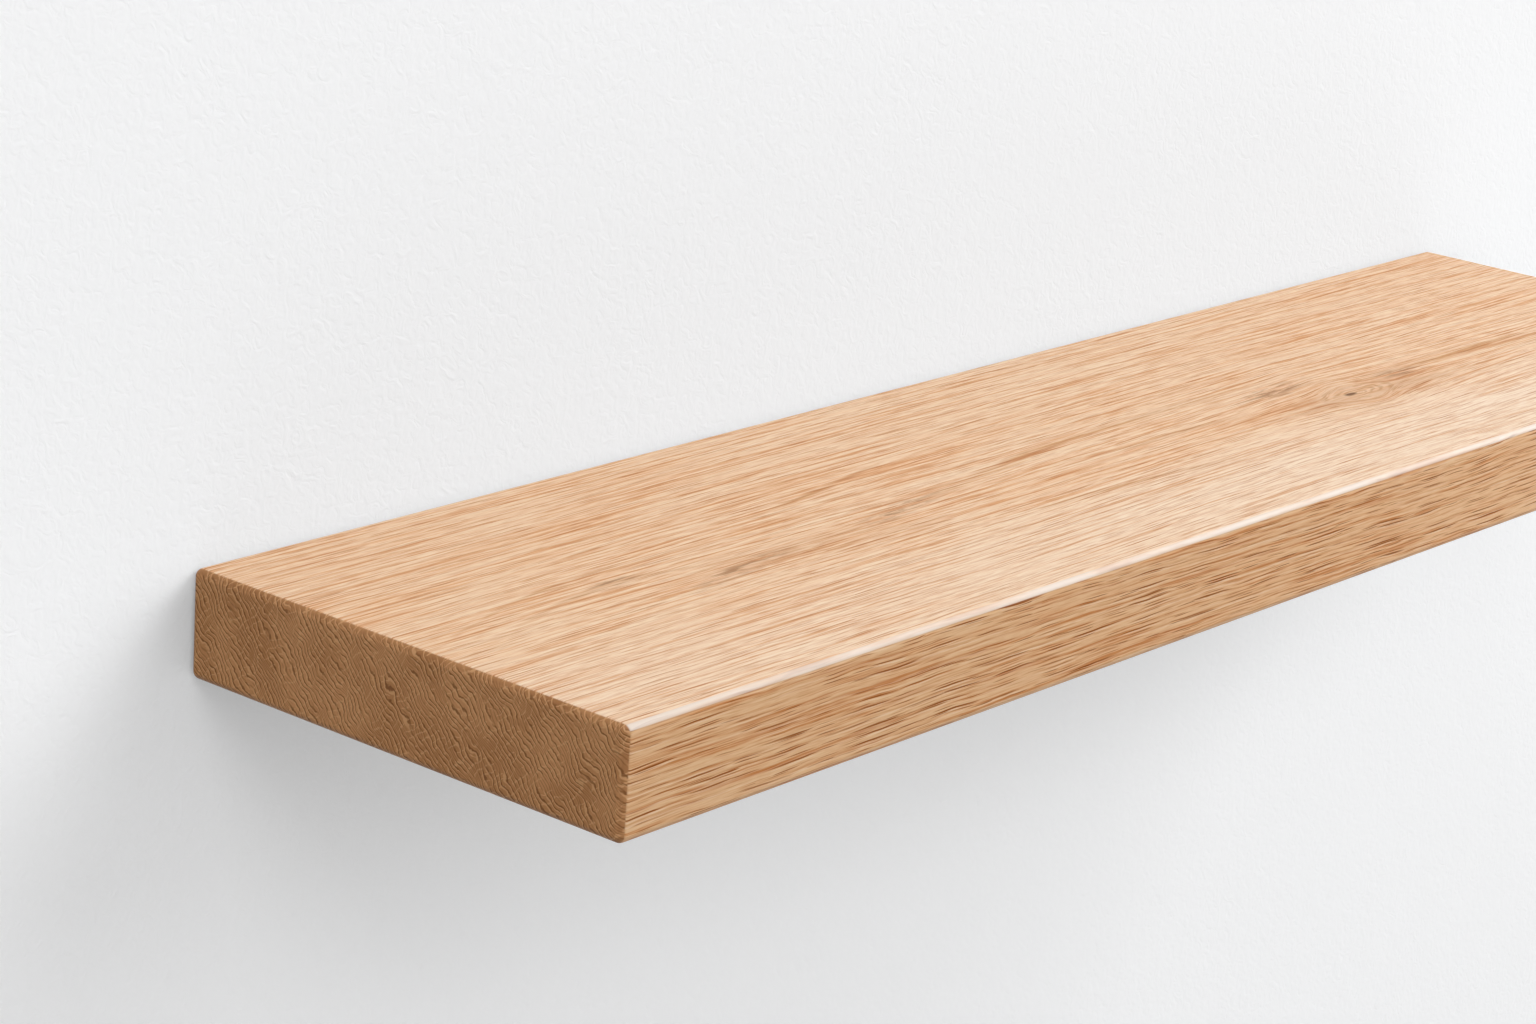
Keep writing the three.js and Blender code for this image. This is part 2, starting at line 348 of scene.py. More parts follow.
# %% [markdown]
# The wood is a solid pattern in space, as it is in a real plank, so it runs on from the top over each
# rounded edge. It is put together from groups, which are small graphs of their own. Their sockets have
# names and give the sizes, so that one group can draw calm lines on the top and livelier ones on the
# front.

# %% Tools for groups
def new_group(name, inputs, *outputs):
    """Opens a new group, whose inputs have values and whose outputs are numbers or the Color."""
    group = bpy.data.node_groups.new(name, "ShaderNodeTree")
    for socket_name, value in inputs.items():
        kind = "NodeSocketVector" if isinstance(value, tuple) else "NodeSocketFloat"
        group.interface.new_socket(socket_name, in_out="INPUT", socket_type=kind).default_value = value
    for socket_name in outputs:
        kind = "NodeSocketColor" if socket_name == "Color" else "NodeSocketFloat"
        group.interface.new_socket(socket_name, in_out="OUTPUT", socket_type=kind)
    open_graph(group)
    return group, tree.nodes.new("NodeGroupInput").outputs


def finish_group(outputs):
    add_node("NodeGroupOutput", outputs)
    print("group:", tree.name, "with", len(tree.nodes), "nodes")


def placed_group(group, inputs):
    """The group's node in a material or in another group."""
    return add_node("ShaderNodeGroup", inputs, node_tree=group)


def noise(place, scales, detail=2.0, roughness=0.5, shift=(0, 0, 0)):
    """Noise whose cells are 1/scales metres long, wide and high; a shift gives another, unlike pattern."""
    moved = vector_calc("ADD", stretched(place, scales), shift)
    inputs = {"Vector": moved, "Scale": 1.0, "Detail": detail, "Roughness": roughness}
    return add_node("ShaderNodeTexNoise", inputs)["Fac"]


def swing(*noise_settings, **more):
    """Noise that swings to both sides of zero."""
    return minus(noise(*noise_settings, **more), 0.5)


def ridges(coordinate, step, cut_low, cut_high, ahead=0.0):
    """Even ridges, one in each step of a coordinate: a sine wave cut off below and above."""
    turns = times(coordinate, math.tau / step)
    if ahead:
        turns = plus(turns, ahead)
    return smooth_step(calc("SINE", turns), cut_low, cut_high)


# %% [markdown]
# A tree grows in shells, and this plank was cut so that the shells stand at 45 degrees between its top
# and its front. One number, the growth coordinate, says which shell a point lies in: a slanted
# distance, bent a little by slow noise. Every streak follows it.

# %% Growth coordinate
GROWTH_SLANT = math.sin(math.radians(45))
SLOW_CELLS = (2.2, 9, 9)
WAVE_CELLS = (20, 60, 60)
WAVE_DETAIL = 3.5
ORIGIN = (0, 0, 0)

bends = {"Place": ORIGIN, "Slow Bend": 0.008, "Wave": 0.001}
growth_group, group_in = new_group("growth_coordinate", bends, "Growth", "Around")
place = group_in["Place"]
straight = vector_calc("DOT_PRODUCT", place, (0, -GROWTH_SLANT, GROWTH_SLANT))
around = vector_calc("DOT_PRODUCT", place, (0, -GROWTH_SLANT, -GROWTH_SLANT))
slow = times(swing(place, SLOW_CELLS, 1.0), group_in["Slow Bend"])
wave = swing(place, WAVE_CELLS, WAVE_DETAIL, shift=(3, 7, 1))
bent = plus(straight, slow, times(wave, group_in["Wave"]))
finish_group({"Growth": bent, "Around": around})

# %% [markdown]
# A small branch once grew through the plank and left a knot in the top. Grain flows round a knot as
# water flows round a post. Close by the lines are pushed apart, over a short length, and further off
# they spread a little and smoothly come back. The sums below undo that flow: they tell each point how
# far aside its line ran before it met the knot. Inside the knot they count small oval rings instead.

# %% Knot
KNOT_PLACE = (0.1420, -0.1252, 0.0)
KNOT_HALF_SIZES = (27 * MM, 10 * MM)
KNOT_PUSH = 8 * MM
KNOT_PUSH_REACH = 20 * MM
KNOT_SPREAD = 0.50
KNOT_SPREAD_REACH = (60 * MM, 20 * MM)
KNOT_RINGS = 5.0
KNOT_HEIGHTS = (6 * MM, 14 * MM)
KNOT_RAGGEDNESS = 0.8
RAGGED_CELLS = (60, 130, 20)
BROKEN_RING_CELLS = (70, 130, 20)
INSIDE_KNOT = (1.30, 0.60)
NEAR_KNOT = (2.8, 0.4)
RING_CUT = (-0.9, 0.7)
RING_BROKEN = (0.44, 0.60)
BROKEN_RING = 0.6

knot_group, group_in = new_group("knot", {"Place": ORIGIN}, "Aside", "Inside", "Ring", "Near")
local = vector_calc("SUBTRACT", group_in["Place"], KNOT_PLACE)
along, across, height = parts_of(local)
on_top = smooth_step(height, *KNOT_HEIGHTS)
fade = calc("DIVIDE", along, KNOT_PUSH_REACH)
push = times(calc("EXPONENT", times(fade, fade, -1.0)), KNOT_PUSH, on_top)
wide = stretched(local, (1 / KNOT_SPREAD_REACH[0], 1 / KNOT_SPREAD_REACH[1], 0))
wide = vector_calc("DOT_PRODUCT", wide, wide)
wide = times(calc("EXPONENT", times(wide, -1.0)), on_top)
before = minus(times(across, across), times(push, push))
before = calc("SQRT", highest(before, 0.0))
before = times(before, calc("SIGN", across))
aside = plus(minus(across, before), times(across, wide, KNOT_SPREAD))
ragged = times(noise(local, RAGGED_CELLS), KNOT_RAGGEDNESS)
radius = oval_reach(local, *KNOT_HALF_SIZES)
radius = plus(radius, minus(ragged, KNOT_RAGGEDNESS / 2))
inside = times(smooth_step(radius, *INSIDE_KNOT), on_top)
near = times(smooth_step(radius, *NEAR_KNOT), on_top)
ring = ridges(calc("SQRT", radius), 1 / KNOT_RINGS, *RING_CUT)
broken = smooth_step(noise(local, BROKEN_RING_CELLS, 1.0, shift=(3, 3, 3)), *RING_BROKEN)
ring = mix_number(broken, ring, BROKEN_RING)
finish_group({"Aside": aside, "Inside": inside, "Ring": ring, "Near": near})

# %% [markdown]
# Along the board oak shows fine lines all over, where the saw laid the fibres open, and between them
# dark streaks, each a row of open pores, with a painted highlight beside it, where its edge would catch
# the light. A streak is thin, has two tapered ends and keeps its distance from its neighbours, which
# plain noise doesn't give. A Voronoi texture does: each of its cells, drawn out along the trunk, holds
# one slim oval round its centre point, and the same oval moved aside by a share of the cell makes the
# painted highlight.

# %% Long grain
STREAK_CELLS = (6, 520, 110)
DASH_CELLS = (25, 640, 220)
PORE_CELLS = (48, 1000, 330)
LINE_CELLS = (13, 1050, 90)
FIBRE_CELLS = (130, 1900, 1500)
SLIMNESS = (1.0, 2.3, 0.7)
HIGHLIGHT_SHIFT = 0.40
FAINTEST = 0.35
LIGHT_END = 0.60
HEAVY_FROM_TO = (-0.40, 0.35)


def grains_in_cells(place, cells, shift, edge, core):
    """A slim oval in each Voronoi cell and, moved aside, its painted highlight; edge and core are shares of
    the cell's size.
    """
    moved = vector_calc("ADD", stretched(place, cells), (shift, shift, shift))
    cell = add_node("ShaderNodeTexVoronoi", {"Vector": moved, "Scale": 1.0})
    offset = vector_calc("SUBTRACT", moved, cell["Position"])
    chance = parts_of(cell["Color"])
    heavy_side = calc("SIGN", minus(chance[1], 0.5))
    heavy_end = smooth_step(times(parts_of(offset)[0], heavy_side), *HEAVY_FROM_TO)
    strength = mix_number(chance[0], FAINTEST, 1.0)
    strength = times(strength, mix_number(heavy_end, LIGHT_END, 1.0))
    shapes = []
    for aside in (0.0, HIGHLIGHT_SHIFT):
        oval = stretched(vector_calc("ADD", offset, (0, aside, 0)), SLIMNESS)
        reach = vector_calc("LENGTH", oval)
        shapes.append(times(smooth_step(reach, edge, core), strength))
    return shapes


trunk = {"Along": 0.0, "Growth": 0.0, "Around": 0.0}
long_masks = ("Streak", "Highlight", "Dash", "Dash Highlight", "Pore", "Line", "Fibre")
long_group, group_in = new_group("long_grain", trunk, *long_masks)
trunk = {"X": group_in["Along"], "Y": group_in["Growth"], "Z": group_in["Around"]}
trunk = add_node("ShaderNodeCombineXYZ", trunk)[0]
streak, highlight = grains_in_cells(trunk, STREAK_CELLS, 0.0, 0.50, 0.22)
dash, dash_highlight = grains_in_cells(trunk, DASH_CELLS, 3.7, 0.48, 0.24)
pore = grains_in_cells(trunk, PORE_CELLS, 8.2, 0.50, 0.24)[0]
line = noise(trunk, LINE_CELLS, 2.5, 0.6, shift=(5, 2, 9))
fibre = noise(trunk, FIBRE_CELLS, shift=(8, 8, 2))
finish_group(dict(zip(long_masks, (streak, highlight, dash, dash_highlight, pore, line, fibre))))

# %% [markdown]
# On the sawn end the same shells show as fine wavy ridges, slanted and broken, like a fingerprint, and
# thin pale rays cross them from the heart of the tree to its bark. A sine of the growth coordinate
# gives even ridges, and the same sine a little ahead gives a painted highlight beside each, as on its lit
# side. Noise bends them, more in some places than in others, so that some curl into whorls, and a mask
# breaks them into short lines.

# %% End grain
RIDGE_STEP = 1.9 * MM
FINE_STEP = 0.9 * MM
RAY_STEP = 2.7 * MM
RIDGE_CUT = (0.45, 0.97)
FINE_CUT = (0.1, 0.95)
RAY_CUT = (0.72, 0.97)
HIGHLIGHT_AHEAD = 1.7
END_BEND = 9 * MM
END_WAVE = 2.6 * MM
RAY_BEND = 1.3
BROAD_CELLS = (10, 70, 70)
SMALL_CELLS = (30, 260, 260)
BROKEN_CELLS = (20, 170, 170)
RAY_CELLS = (30, 200, 200)
PATCH_CELLS = (10, 45, 45)
RIDGE_BROKEN = (0.36, 0.52)
RAY_THERE = (0.43, 0.53)
FINE_SHARE = 0.55
BROKEN_HIGHLIGHT = 0.15

shells = {"Place": ORIGIN, "Growth": 0.0, "Around": 0.0}
end_group, group_in = new_group("end_grain", shells, "Line", "Highlight", "Ray", "Patch")
place = group_in["Place"]
small = times(swing(place, SMALL_CELLS, shift=(4, 9, 2)), END_WAVE)
bend = times_plus(swing(place, BROAD_CELLS, 1.0), END_BEND, small)
growth = plus(group_in["Growth"], bend)
whole = smooth_step(noise(place, BROKEN_CELLS, shift=(2, 2, 8)), *RIDGE_BROKEN)
fine = ridges(minus(growth, small), FINE_STEP, *FINE_CUT)
line = ridges(growth, RIDGE_STEP, *RIDGE_CUT)
line = mix_number(whole, times(fine, FINE_SHARE), line)
# Painted highlight: a second ridge a little ahead, as the lit side of each ridge.
highlight = ridges(growth, RIDGE_STEP, *RIDGE_CUT, ahead=HIGHLIGHT_AHEAD)
highlight = times(highlight, mix_number(whole, BROKEN_HIGHLIGHT, 1.0))
around = plus(group_in["Around"], times(bend, RAY_BEND))
ray_there = smooth_step(noise(place, RAY_CELLS, 1.0, shift=(6, 1, 5)), *RAY_THERE)
ray = times(ridges(around, RAY_STEP, *RAY_CUT), ray_there)
patch = noise(place, PATCH_CELLS, shift=(7, 5, 1))
finish_group({"Line": line, "Highlight": highlight, "Ray": ray, "Patch": patch})

# %% [markdown]
# Oak boards also show a few long single lines, where a late ring of growth meets the surface at a very
# flat angle. Ahead of a knot they run as a narrow arch, and where the saw met disturbed growth there
# are short brown smudges. Both are strokes: a long oval laid along a slightly bowed curve, soft at its
# ends. One group draws a stroke, and two lists say where the strokes lie on this board. Each row gives
# a stroke's middle, its slope, its bow, half its length and half its width.

# %% Strokes
WOBBLE = 6 * MM
WOBBLE_CELLS = (25, 60, 60)
STROKE_DEPTH_SCALE = 80.0
STROKE_SOFTNESS = (1.0, 0.1)
LONG_LINES = (
    ((-0.020, -0.0925, 0.02), 0.070, -0.0155, 0.190, 0.0046),
    ((0.010, -0.1130, 0.02), -0.050, 0.0, 0.075, 0.0034),
    ((-0.050, -0.1435, 0.02), -0.070, 0.0, 0.100, 0.0026),
    ((0.245, -0.1150, 0.02), -0.050, -0.0050, 0.095, 0.0075),
    ((-0.310, -0.1020, 0.02), 0.080, -0.0240, 0.080, 0.0026),
    ((-0.300, -0.0890, 0.02), 0.070, -0.0220, 0.110, 0.0022),
    ((-0.155, -0.0740, 0.02), 0.170, 0.0, 0.070, 0.0026),
)
SMUDGES = (
    ((-0.250, -0.1185, 0.02), 0.17, 0.0, 0.042, 0.0075),
    ((-0.148, -0.1085, 0.02), 0.22, 0.0, 0.040, 0.0080),
    ((-0.298, -0.1010, 0.02), 0.10, 0.0, 0.018, 0.0050),
    ((0.112, -0.1010, 0.02), 0.05, 0.0, 0.040, 0.0085),
    ((0.186, -0.1180, 0.02), -0.05, 0.0, 0.024, 0.0065),
)

stroke = {"Place": ORIGIN, "Middle": ORIGIN, "Slope": 0.0, "Bow": 0.0}
stroke |= {"Half Length": 0.1, "Half Width": 0.003}
stroke_group, group_in = new_group("grain_stroke", stroke, "Stroke")
place = group_in["Place"]
offset = parts_of(vector_calc("SUBTRACT", place, group_in["Middle"]))
along = calc("DIVIDE", offset["X"], group_in["Half Length"])
sloped = times(offset["X"], group_in["Slope"])
bowed = times(along, along, group_in["Bow"])
wobble = times(swing(place, WOBBLE_CELLS, shift=(1, 8, 3)), WOBBLE)
aside = plus(minus(offset["Y"], sloped, bowed), wobble)
aside = calc("DIVIDE", aside, group_in["Half Width"])
deep = times(offset["Z"], STROKE_DEPTH_SCALE)
reach = add_node("ShaderNodeCombineXYZ", {"X": along, "Y": aside, "Z": deep})[0]
finish_group({"Stroke": smooth_step(vector_calc("LENGTH", reach), *STROKE_SOFTNESS)})


def strokes_together(place, strokes):
    """The strongest of several strokes at each point."""
    inputs = [dict(zip(stroke, (place, *row))) for row in strokes]
    return highest(*(placed_group(stroke_group, row)["Stroke"] for row in inputs))


# %% [markdown]
# The oak group puts these together, in five steps. The first asks where a point lies. The face's own
# normal tells the top, the front and the sawn end apart, and the growth coordinate, led round the knot,
# tells the line of grain. Tables name the strengths: a ramp is the value where a mask starts and the
# value where it is full, and a pair is for the top and for the front, whose streaks are livelier.

# %% Oak: the face and the grain at a point
EDGE_GROWTH = 0.1556
FRONT_SQUEEZE = 0.20
SLOW_BEND = 9 * MM
RAMPS = {
    "on end": (0.20, 0.42),
    "on front": (0.45, 0.85),
    "on rounding": (0.995, 0.93),
}
TOP_AND_FRONT = {
    "wave": (1.3 * MM, 2.2 * MM),
    "line": (0.70, 0.95),
    "streak": (0.27, 0.50),
    "pore": (0.62, 0.85),
    "dash": (0.66, 1.0),
    "heart": (0.10, 0.68),
    "fibre": (0.42, 0.30),
}

point = {"Place": ORIGIN, "Normal": (0, 0, 1)}
oak_group, group_in = new_group("oak", point, "Color", "Roughness", "Height", "Coat")
place = group_in["Place"]


def ramp(name, value):
    return smooth_step(value, *RAMPS[name])


where = parts_of(place)
facing = parts_of(vector_calc("ABSOLUTE", group_in["Normal"]))
on_end = ramp("on end", facing["X"])
on_front = ramp("on front", facing["Y"])
on_rounding = ramp("on rounding", highest(facing["X"], facing["Y"], facing["Z"]))
by_face = {name: mix_number(on_front, *pair) for name, pair in TOP_AND_FRONT.items()}

knot = placed_group(knot_group, {"Place": place})
bends = {"Place": place, "Slow Bend": SLOW_BEND, "Wave": by_face["wave"]}
shells = placed_group(growth_group, bends)
growth = times_plus(knot["Aside"], GROWTH_SLANT, shells["Growth"])
squeeze = times(minus(growth, EDGE_GROWTH), FRONT_SQUEEZE)
growth = plus(growth, times(squeeze, on_front))
trunk = {"Along": where["X"], "Growth": growth, "Around": shells["Around"]}
grain = placed_group(long_group, trunk)
ends = {"Place": place, "Growth": shells["Growth"], "Around": shells["Around"]}
ends = placed_group(end_group, ends)
print("oak: faces and grain, with", len(tree.nodes), "nodes so far")

# %% [markdown]
# The colour is laid on as a painter would lay it, the broad tones first and then ever finer marks, each
# over the last. Towards the front the top gets paler, partly as sapwood and partly as a painted sheen,
# and most of all at the right, where the paling is painted light. The front is painted darker than the
# top, as painted shade, and less so at the right. The hearts of the pores are the darkest marks,
# because each is a tiny hole full of shadow.

# %% Oak: tones and streaks
LIGHT_OAK = (0.945, 0.695, 0.465, 1)
MID_OAK = (0.88, 0.53, 0.285, 1)
# Partly sapwood colour, partly painted sheen.
SAPWOOD_AND_SHEEN = (1.0, 0.81, 0.62, 1)
# Painted shade for the front, lighter at the right.
FRONT_PAINTED_SHADE = (0.87, 0.72, 0.54, 1)
FRONT_PAINTED_SHADE_RIGHT = (0.97, 0.81, 0.63, 1)
LINE_TINT = (0.78, 0.55, 0.37, 1)
# A painted highlight beside each streak.
STREAK_HIGHLIGHT = (1.0, 0.82, 0.62, 1)
STREAK_BROWN = (0.48, 0.13, 0.01, 1)
PORE_BROWN = (0.22, 0.055, 0.004, 1)
LINE_OVER_TONE = 0.7
SAPWOOD_AND_SHEEN_SHARES = (0.45, 0.90)
STREAK_HIGHLIGHT_SHARE = 0.45
NOISES = {"tone": ((3, 22, 22), 2.0, 0.5, (2, 6, 4))}
RAMPS |= {
    "tone": (0.30, 0.70),
    "bright line": (0.40, 0.62),
    "dark line": (0.48, 0.34),
    "painted light to the right": (-0.30, 0.35),
    "sapwood and sheen": (-0.120, -0.172),
    "heart": (0.30, 0.80),
    "fibre": (0.40, 0.66),
}


def noise_ramp(name):
    return ramp(name, noise(place, *NOISES[name]))


bright_line = ramp("bright line", grain["Line"])
dark_line = ramp("dark line", grain["Line"])
line_tone = mix_number(LINE_OVER_TONE, noise_ramp("tone"), bright_line)
colour = mix_colour(line_tone, MID_OAK, LIGHT_OAK)
# Painted light: the top's paling and the front both get lighter towards the right.
painted_light_to_right = ramp("painted light to the right", where["X"])
# The top's paling towards the front is partly sapwood colour and partly painted sheen.
sapwood_and_sheen_share = mix_number(painted_light_to_right, *SAPWOOD_AND_SHEEN_SHARES)
sapwood_and_sheen_share = mix_number(on_front, sapwood_and_sheen_share, SAPWOOD_AND_SHEEN_SHARES[0])
colour = laid_over(colour, SAPWOOD_AND_SHEEN, ramp("sapwood and sheen", where["Y"]), sapwood_and_sheen_share)
# Painted shade: the front is painted darker than the top, and less so at the right.
front_painted_shade = mix_colour(painted_light_to_right, FRONT_PAINTED_SHADE, FRONT_PAINTED_SHADE_RIGHT)
colour = tinted(colour, front_painted_shade, on_front)
colour = tinted(colour, LINE_TINT, dark_line, by_face["line"])

pore = times(grain["Pore"], by_face["pore"])
dash = highest(times(grain["Dash"], by_face["dash"]), pore)
streak = highest(times(grain["Streak"], by_face["streak"]), dash)
# Painted highlight beside each streak and dash, where its edge would catch the light.
highlight = highest(grain["Highlight"], grain["Dash Highlight"])
colour = laid_over(colour, STREAK_HIGHLIGHT, highlight, STREAK_HIGHLIGHT_SHARE)
colour = laid_over(colour, STREAK_BROWN, streak)
colour = laid_over(colour, PORE_BROWN, ramp("heart", dash), by_face["heart"])
colour = tinted(colour, LINE_TINT, ramp("fibre", grain["Fibre"]), by_face["fibre"])
print("oak: tones and streaks, with", len(tree.nodes), "nodes so far")

# %% [markdown]
# In two places the saw met disturbed growth, and the top shows brown, flame-like figure with smudges.
# Three slanted ovals say where. The knot sits in the right one: tan and cream rings round a small dark
# core. No layer covers fully, because on real oak the grain shows through such places.

# %% Oak: figure and knot
BAND_TINT = (0.80, 0.66, 0.50, 1)
STROKE_TINT = (0.73, 0.56, 0.40, 1)
SMUDGE_BROWN = (0.37, 0.175, 0.085, 1)
KNOT_TAN = (0.62, 0.345, 0.17, 1)
KNOT_CREAM = (0.86, 0.56, 0.345, 1)
KNOT_DARK = (0.16, 0.07, 0.035, 1)
FIGURE_PLACES = (
    ((-0.212, -0.117, 0.02), (78 * MM, 13 * MM)),
    ((0.100, -0.124, 0.02), (70 * MM, 12 * MM)),
    ((0.178, -0.130, 0.02), (75 * MM, 13 * MM)),
)
FIGURE_SLANT = math.radians(5)
FIGURE_DEPTH_SCALE = 12
KNOT_CORE = (0.1353, -0.1245, 0.020)
CORE_HALF_SIZES = (4.2 * MM, 1.5 * MM)
CORE_DEPTH_SCALE = 60
PARTED_LINE = 0.30
SHARES = {"figure": 0.22, "flame": 0.45, "long line": 0.75, "smudge place": 0.25}
SHARES |= {"smudge": 0.70, "near knot": 0.5, "knot": 0.62, "knot core": 0.85}
NOISES |= {
    "flame": ((20, 150, 150), 4.0, 0.65, (4, 4, 1)),
    "parted": ((18, 520, 520), 3.0, 0.6, (6, 6, 6)),
    "smudge": ((65, 620, 620), 3.0, 0.6, (9, 1, 6)),
}
RAMPS |= {"figure": (1.1, 0.2), "flame": (0.42, 0.60), "parted": (0.40, 0.60)}
RAMPS |= {"smudge": (0.43, 0.58), "knot core": (1.3, 0.5)}

spots = []
for centre, half_sizes in FIGURE_PLACES:
    offset = vector_calc("SUBTRACT", place, centre)
    offset = add_node("ShaderNodeVectorRotate", {"Vector": offset, "Angle": FIGURE_SLANT})[0]
    spots.append(ramp("figure", oval_reach(offset, *half_sizes, FIGURE_DEPTH_SCALE)))
figure = highest(*spots)
colour = tinted(colour, BAND_TINT, figure, SHARES["figure"])
colour = tinted(colour, BAND_TINT, figure, noise_ramp("flame"), SHARES["flame"])
whole_line = mix_number(noise_ramp("parted"), PARTED_LINE, 1.0)
long_lines = times(strokes_together(place, LONG_LINES), whole_line)
colour = tinted(colour, STROKE_TINT, long_lines, SHARES["long line"])
smudge_place = strokes_together(place, SMUDGES)
smudge = times(noise_ramp("smudge"), smudge_place)
colour = tinted(colour, STROKE_TINT, smudge_place, SHARES["smudge place"])
colour = laid_over(colour, SMUDGE_BROWN, smudge, SHARES["smudge"])

colour = tinted(colour, BAND_TINT, knot["Near"], SHARES["near knot"])
rings = mix_colour(knot["Ring"], KNOT_TAN, KNOT_CREAM)
colour = laid_over(colour, rings, knot["Inside"], SHARES["knot"])
core = vector_calc("SUBTRACT", place, KNOT_CORE)
core = ramp("knot core", oval_reach(core, *CORE_HALF_SIZES, CORE_DEPTH_SCALE))
colour = laid_over(colour, KNOT_DARK, core, SHARES["knot core"])
print("oak: figure and knot, with", len(tree.nodes), "nodes so far")

# %% [markdown]
# The sawn end is browner, because open end grain drinks more oil, and it takes over where the face looks
# sideways. Its rounded edges are painted darker, as painted shade. The top edge at the front gets a
# painted highlight, pale and streaked with the grain, with a line of painted shade under it. The normal
# turns steadily over a rounded edge, so ramps of it draw lines that run exactly along that edge.

# %% Oak: sawn end, and painted highlight and shade on the edges
END_OAK = (0.66, 0.32, 0.133, 1)
END_BROWN = (0.53, 0.24, 0.09, 1)
END_LINE = (0.20, 0.068, 0.014, 1)
# Pale for the real rays and for a painted highlight beside each ridge.
END_HIGHLIGHT_AND_RAY = (0.80, 0.45, 0.21, 1)
# Painted shade, on the sawn end's rounded edges and under the front edge.
EDGE_PAINTED_SHADE = (0.74, 0.70, 0.66, 1)
# A painted highlight for the front edge, and its dullest share along the grain.
PAINTED_EDGE_HIGHLIGHT = (0.75, 0.635, 0.545, 1)
PAINTED_HIGHLIGHT_DULLEST = 0.65
SHARES |= {"painted shade on end rounding": 0.8, "end highlight and ray": 0.65, "end line": 0.78}
RAMPS |= {
    "end patch": (0.35, 0.65),
    "painted shade on end rounding": (0.98, 0.80),
    "end line": (0.85, 0.35),
    "upper half": (0.0, 0.01),
    "front part": (-0.10, -0.18),
    "painted shade under edge": (0.03, 0.30),
    "edge highlight in front": (0.10, 0.40),
    "edge highlight above": (0.34, 0.46),
}

end_colour = mix_colour(ramp("end patch", ends["Patch"]), END_OAK, END_BROWN)
# Painted shade: the sawn end's rounded edges are painted darker.
end_rounding_shade = ramp("painted shade on end rounding", facing["X"])
end_colour = tinted(end_colour, EDGE_PAINTED_SHADE, end_rounding_shade, SHARES["painted shade on end rounding"])
# The pale paint covers the real rays and the painted highlight beside each ridge.
pale = highest(ends["Highlight"], ends["Ray"])
end_colour = laid_over(end_colour, END_HIGHLIGHT_AND_RAY, pale, SHARES["end highlight and ray"])
beside_top = ramp("end line", facing["Z"])
end_colour = laid_over(end_colour, END_LINE, ends["Line"], beside_top, SHARES["end line"])

front_edge = ramp("upper half", where["Z"])
front_edge = times(front_edge, on_rounding, ramp("front part", where["Y"]))
# Painted shade in a line under the front edge's highlight.
painted_shade_under_edge = ramp("painted shade under edge", facing["Z"])
colour = tinted(colour, EDGE_PAINTED_SHADE, painted_shade_under_edge, front_edge, on_front)
# Painted highlight: the front edge's rounding is painted pale, streaked by the grain.
painted_edge_highlight = times(ramp("edge highlight in front", facing["Y"]), front_edge)
painted_edge_highlight = times(painted_edge_highlight, ramp("edge highlight above", facing["Z"]))
edge_highlight_streaks = mix_number(bright_line, PAINTED_HIGHLIGHT_DULLEST, 1.0)
colour = laid_over(colour, PAINTED_EDGE_HIGHLIGHT, painted_edge_highlight, edge_highlight_streaks)
colour = laid_over(colour, end_colour, on_end)
print("oak: sawn end and edge, with", len(tree.nodes), "nodes so far")

# %% [markdown]
# Relief and gloss follow the same masks as the colour, as they do on a real board. Streaks and the
# knot's core are dips. The clear coat is thinner over open pores, dark lines and smudges, where oil
# sinks in, and on the rounded edges, where the relief fades too, because sanding wears an edge more
# than a face.

# %% Oak: relief and coat
HEIGHTS = {"line": 0.5, "streak": 0.6, "knot core": 0.4, "end highlight and ray": 0.6}
ROUNDING_RELIEF = 0.25
RAMPS["open wood"] = (0.05, 0.40)
DARK_LINE_OPEN = 0.8
FACE_COAT = 0.75
OPEN_COAT = 0.15
END_COAT = 0.35
ROUNDING_COAT = 0.48
ROUGHNESS = (0.46, 0.64)

long_height = times(grain["Line"], HEIGHTS["line"])
dips = (times(streak, HEIGHTS["streak"]), times(core, HEIGHTS["knot core"]))
end_height = minus(times(pale, HEIGHTS["end highlight and ray"]), ends["Line"])
height = mix_number(on_end, minus(long_height, *dips), end_height)
height = times(height, mix_number(on_rounding, 1.0, ROUNDING_RELIEF))
open_wood = highest(ramp("open wood", streak), core, times(dark_line, DARK_LINE_OPEN))
open_wood = highest(open_wood, highest(smudge, long_lines))
coat = mix_number(open_wood, FACE_COAT, OPEN_COAT)
coat = mix_number(on_rounding, mix_number(on_end, coat, END_COAT), ROUNDING_COAT)
rough = mix_number(highest(streak, on_end), *ROUGHNESS)
finish_group({"Color": colour, "Roughness": rough, "Height": height, "Coat": coat})

# %% [markdown]
# The finish is oil under a thin clear coat, which gives the top its milky sheen, and all the gloss comes
# from that coat. Light that bounces off the wood is kept weak and only slightly warm, as the wall beside
# the photographed board shows hardly any tint.

# %% Oiled oak
BOUNCE_TONE = (0.105, 0.072, 0.052, 1)
RELIEF_DEPTH = 0.07 * MM
RELIEF_STRENGTH = 0.8
COAT_ROUGHNESS = 0.34

oak = new_material("oiled_oak")
coordinates = add_node("ShaderNodeTexCoord")
wood = placed_group(oak_group, {"Place": coordinates["Object"], "Normal": coordinates["Normal"]})
relief = bump(wood["Height"], RELIEF_DEPTH, RELIEF_STRENGTH)
bounced = add_node("ShaderNodeLightPath")["Is Diffuse Ray"]
wood_colour = mix_colour(bounced, wood["Color"], BOUNCE_TONE)
surface = {"Base Color": wood_colour, "Roughness": wood["Roughness"], "Coat Weight": wood["Coat"]}
surface |= {"Normal": relief, "Specular IOR Level": 0.0, "Coat Roughness": COAT_ROUGHNESS}
add_surface(add_node("ShaderNodeBsdfPrincipled", surface))
finishes = {"oak": oak}

